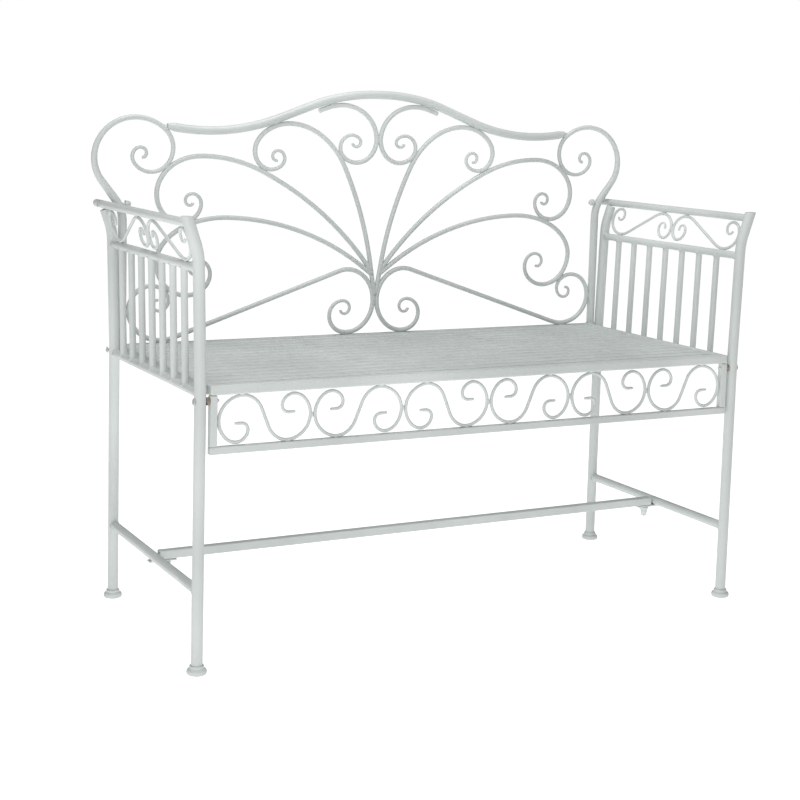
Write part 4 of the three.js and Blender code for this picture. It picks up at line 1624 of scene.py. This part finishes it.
@dataclass
class Fasteners:
    """The bolts, cap nuts and spacers that hold the seat and the backrest to the side frames.

    Attributes:
        head_height: The height of a bolt's head, in millimetres.
        face_height: The height of its outer face above the leg, in millimetres.
        head: The head's radius, in millimetres.
        shank: The shank's radius, in millimetres.
        socket: Half the width of the head's hexagon socket, in millimetres.
        nut_flats: Half the width of a cap nut across its flats, in millimetres.
    """

    head_height: float = 4.0
    face_height: float = 2.5
    head: float = 5.9
    shank: float = 3.0
    socket: float = 2.0
    nut_flats: float = 6.5

    def end_of(self, node: str, outwards: Vector) -> tuple[Vector, float]:
        """The middle of a node's end that faces a direction, and its length that way in millimetres."""
        low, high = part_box(node)
        half = abs((high - low).dot(outwards)) / 2
        return (low + high) / 2 + outwards * half, 2 * half / MM

    def bolt(self, node: str, outwards: Vector) -> Mesh:
        """A button-head bolt with a hexagon socket, its head on the outer end of its node.

        Args:
            node: The frame node.
            outwards: The direction from the shank to the head.

        Returns:
            The bolt's mesh.
        """
        place, length = self.end_of(node, outwards)
        under = self.head_height
        face = under - self.face_height
        profile = [
            (0, face + 1.4), (2.3, face + 1.4), (2.3, face + 0.3), (2.8, face), (3.8, face + 0.1),
            (5.1, face + 0.8), (self.head, under - 0.6), (self.head, under),
            (self.shank, under), (self.shank, length - 1), (self.shank - 0.8, length), (0, length),
        ]
        span = (face + 0.35, face + 1.5)
        head = Turning(profile, place, -outwards, easing=0.3, hexagon=self.socket, hexagon_span=span)
        return head.mesh(node)

    def cap_nut(self, node: str, inwards: Vector) -> Mesh:
        """A domed nut, its dome pointing inwards."""
        place, height = self.end_of(node, -inwards)
        profile = [
            (0, 0), (6.3, 0), (7.4, 0.6), (7.5, 1.2), (7.5, 4.4), (6.7, 5.1), (6.0, 5.3), (5.7, 6.6),
            (5.1, 8.2), (3.9, 9.7), (2.2, height - 0.35), (0, height),
        ]
        nut = Turning(profile, place, inwards, easing=0.5, hexagon=self.nut_flats, hexagon_span=(0.0, 5.2))
        return nut.mesh(node)

    def spacer(self, node: str) -> Mesh:
        """A short zinc sleeve between the leg and the seat."""
        low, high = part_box(node)
        place, length = self.end_of(node, -X)
        radius = (high.z - low.z) / 2 / MM
        edge = 0.6
        profile = [
            (0, 0), (radius - edge, 0), (radius, edge),
            (radius, length - edge), (radius - edge, length), (0, length),
        ]
        return Turning(profile, place, X, easing=0.3).mesh(node)

    def build(self, shop: Workshop) -> None:
        """Makes and fits the fasteners."""
        for name, side in SIDES:
            out = X * side
            directions = {
                "arm_bolt": out, "front_seat_bolt": out, "rear_seat_bolt": out, "seat_back_bolt": Y,
            }
            for kind, direction in directions.items():
                node = f"{kind}_{name}"
                shop.fit(node + "_button_head", self.bolt(node, direction), Slot.FASTENER_PAINT, node)
            nut = f"arm_cap_nut_{name}"
            shop.fit(nut + "_dome", self.cap_nut(nut, -out), Slot.FASTENER_PAINT, nut)
            spacer = f"front_seat_spacer_{name}"
            shop.fit(spacer + "_sleeve", self.spacer(spacer), Slot.ZINC, spacer)


# ---------------------------------------------------------------- studio


@dataclass(frozen=True)
class SoftBox:
    """A square soft box: its name, place, size in metres and power in watts."""

    name: str
    place: Vector
    size: float
    power: float


@dataclass
class Studio:
    """A pale floor, soft light from the left and front, and the camera."""

    floor_half: float = 40.0
    camera_place: Vector = field(default_factory=lambda: Vector((-1.3968, -2.5520, 0.9057)))
    yaw: float = 28.24
    pitch: float = 6.86
    roll: float = 1.66
    lens: float = 71.94
    shift: tuple[float, float] = (-0.018, -0.1256)
    ambient: float = 0.25
    aim: Vector = field(default_factory=lambda: Vector((0, 0, 0.45)))
    lights: tuple[SoftBox, ...] = (
        SoftBox("key_softbox", Vector((-2.0, -2.2, 1.1)), 1.3, 22.0),
        SoftBox("overhead_softbox", Vector((-0.2, -0.1, 2.6)), 1.6, 33.0),
    )

    def floor(self) -> None:
        """Lays the floor."""
        bm = bmesh.new()
        bmesh.ops.create_grid(bm, x_segments=8, y_segments=8, size=self.floor_half)
        mesh = bpy.data.meshes.new("studio_floor")
        bm.to_mesh(mesh)
        bm.free()
        mesh.materials.append(PaleFloor().build())
        floor = bpy.data.objects.new("studio_floor", mesh)
        bpy.context.scene.collection.objects.link(floor)

    def world(self) -> None:
        """A white surround, with a softer grey light from it."""
        world = bpy.data.worlds.new("studio_surround")
        world.use_nodes = True
        tree = world.node_tree
        shown = tree.nodes["Background"]
        shown.inputs["Color"].default_value = (1, 1, 1, 1)
        shown.inputs["Strength"].default_value = 1.0
        lighting = tree.nodes.new("ShaderNodeBackground")
        lighting.inputs["Color"].default_value = (1, 1, 1, 1)
        lighting.inputs["Strength"].default_value = self.ambient
        seen = tree.nodes.new("ShaderNodeLightPath")
        mix = tree.nodes.new("ShaderNodeMixShader")
        tree.links.new(seen.outputs["Is Camera Ray"], mix.inputs[0])
        tree.links.new(lighting.outputs[0], mix.inputs[1])
        tree.links.new(shown.outputs[0], mix.inputs[2])
        tree.links.new(mix.outputs[0], tree.nodes["World Output"].inputs["Surface"])
        bpy.context.scene.world = world

    def soft_light(self, box: SoftBox) -> None:
        """Hangs one soft box, turned to the middle of the bench."""
        data = bpy.data.lights.new(box.name, "AREA")
        data.energy = box.power
        data.shape = "SQUARE"
        data.size = box.size
        light = bpy.data.objects.new(box.name, data)
        bpy.context.scene.collection.objects.link(light)
        light.location = box.place
        light.rotation_euler = (self.aim - box.place).to_track_quat("-Z", "Y").to_euler()

    def camera(self) -> None:
        """The camera, to the left of the bench and a little above the seat's back."""
        data = bpy.data.cameras.new("camera")
        data.sensor_width = 36
        data.lens = self.lens
        data.shift_x, data.shift_y = self.shift
        camera = bpy.data.objects.new("camera", data)
        bpy.context.scene.collection.objects.link(camera)
        yaw, pitch, roll = (math.radians(a) for a in (self.yaw, self.pitch, self.roll))
        ahead = Vector((math.sin(yaw) * math.cos(pitch), math.cos(yaw) * math.cos(pitch), -math.sin(pitch)))
        right = Vector((math.cos(yaw), -math.sin(yaw), 0))
        up = right.cross(ahead)
        tilted_right = right * math.cos(roll) + up * math.sin(roll)
        tilted_up = up * math.cos(roll) - right * math.sin(roll)
        turn = Matrix((tilted_right, tilted_up, -ahead)).transposed()
        camera.matrix_world = Matrix.Translation(self.camera_place) @ turn.to_4x4()
        bpy.context.scene.camera = camera

    def build(self) -> None:
        """Sets up the floor, the light and the camera."""
        self.floor()
        self.world()
        for box in self.lights:
            self.soft_light(box)
        self.camera()
        bpy.context.scene.view_settings.view_transform = "Standard"


def main() -> None:
    """Builds the bench, part by part, and the studio round it."""
    logging.basicConfig(level=logging.INFO, format="%(message)s")
    shop = Workshop()
    for name, side in SIDES:
        SideFrame(name, side).build(shop)
    LongStretcher().build(shop)
    Seat().build(shop)
    Apron().build(shop)
    Backrest().build(shop)
    Fasteners().build(shop)
    Studio().build()


if __name__ == "__main__":
    main()
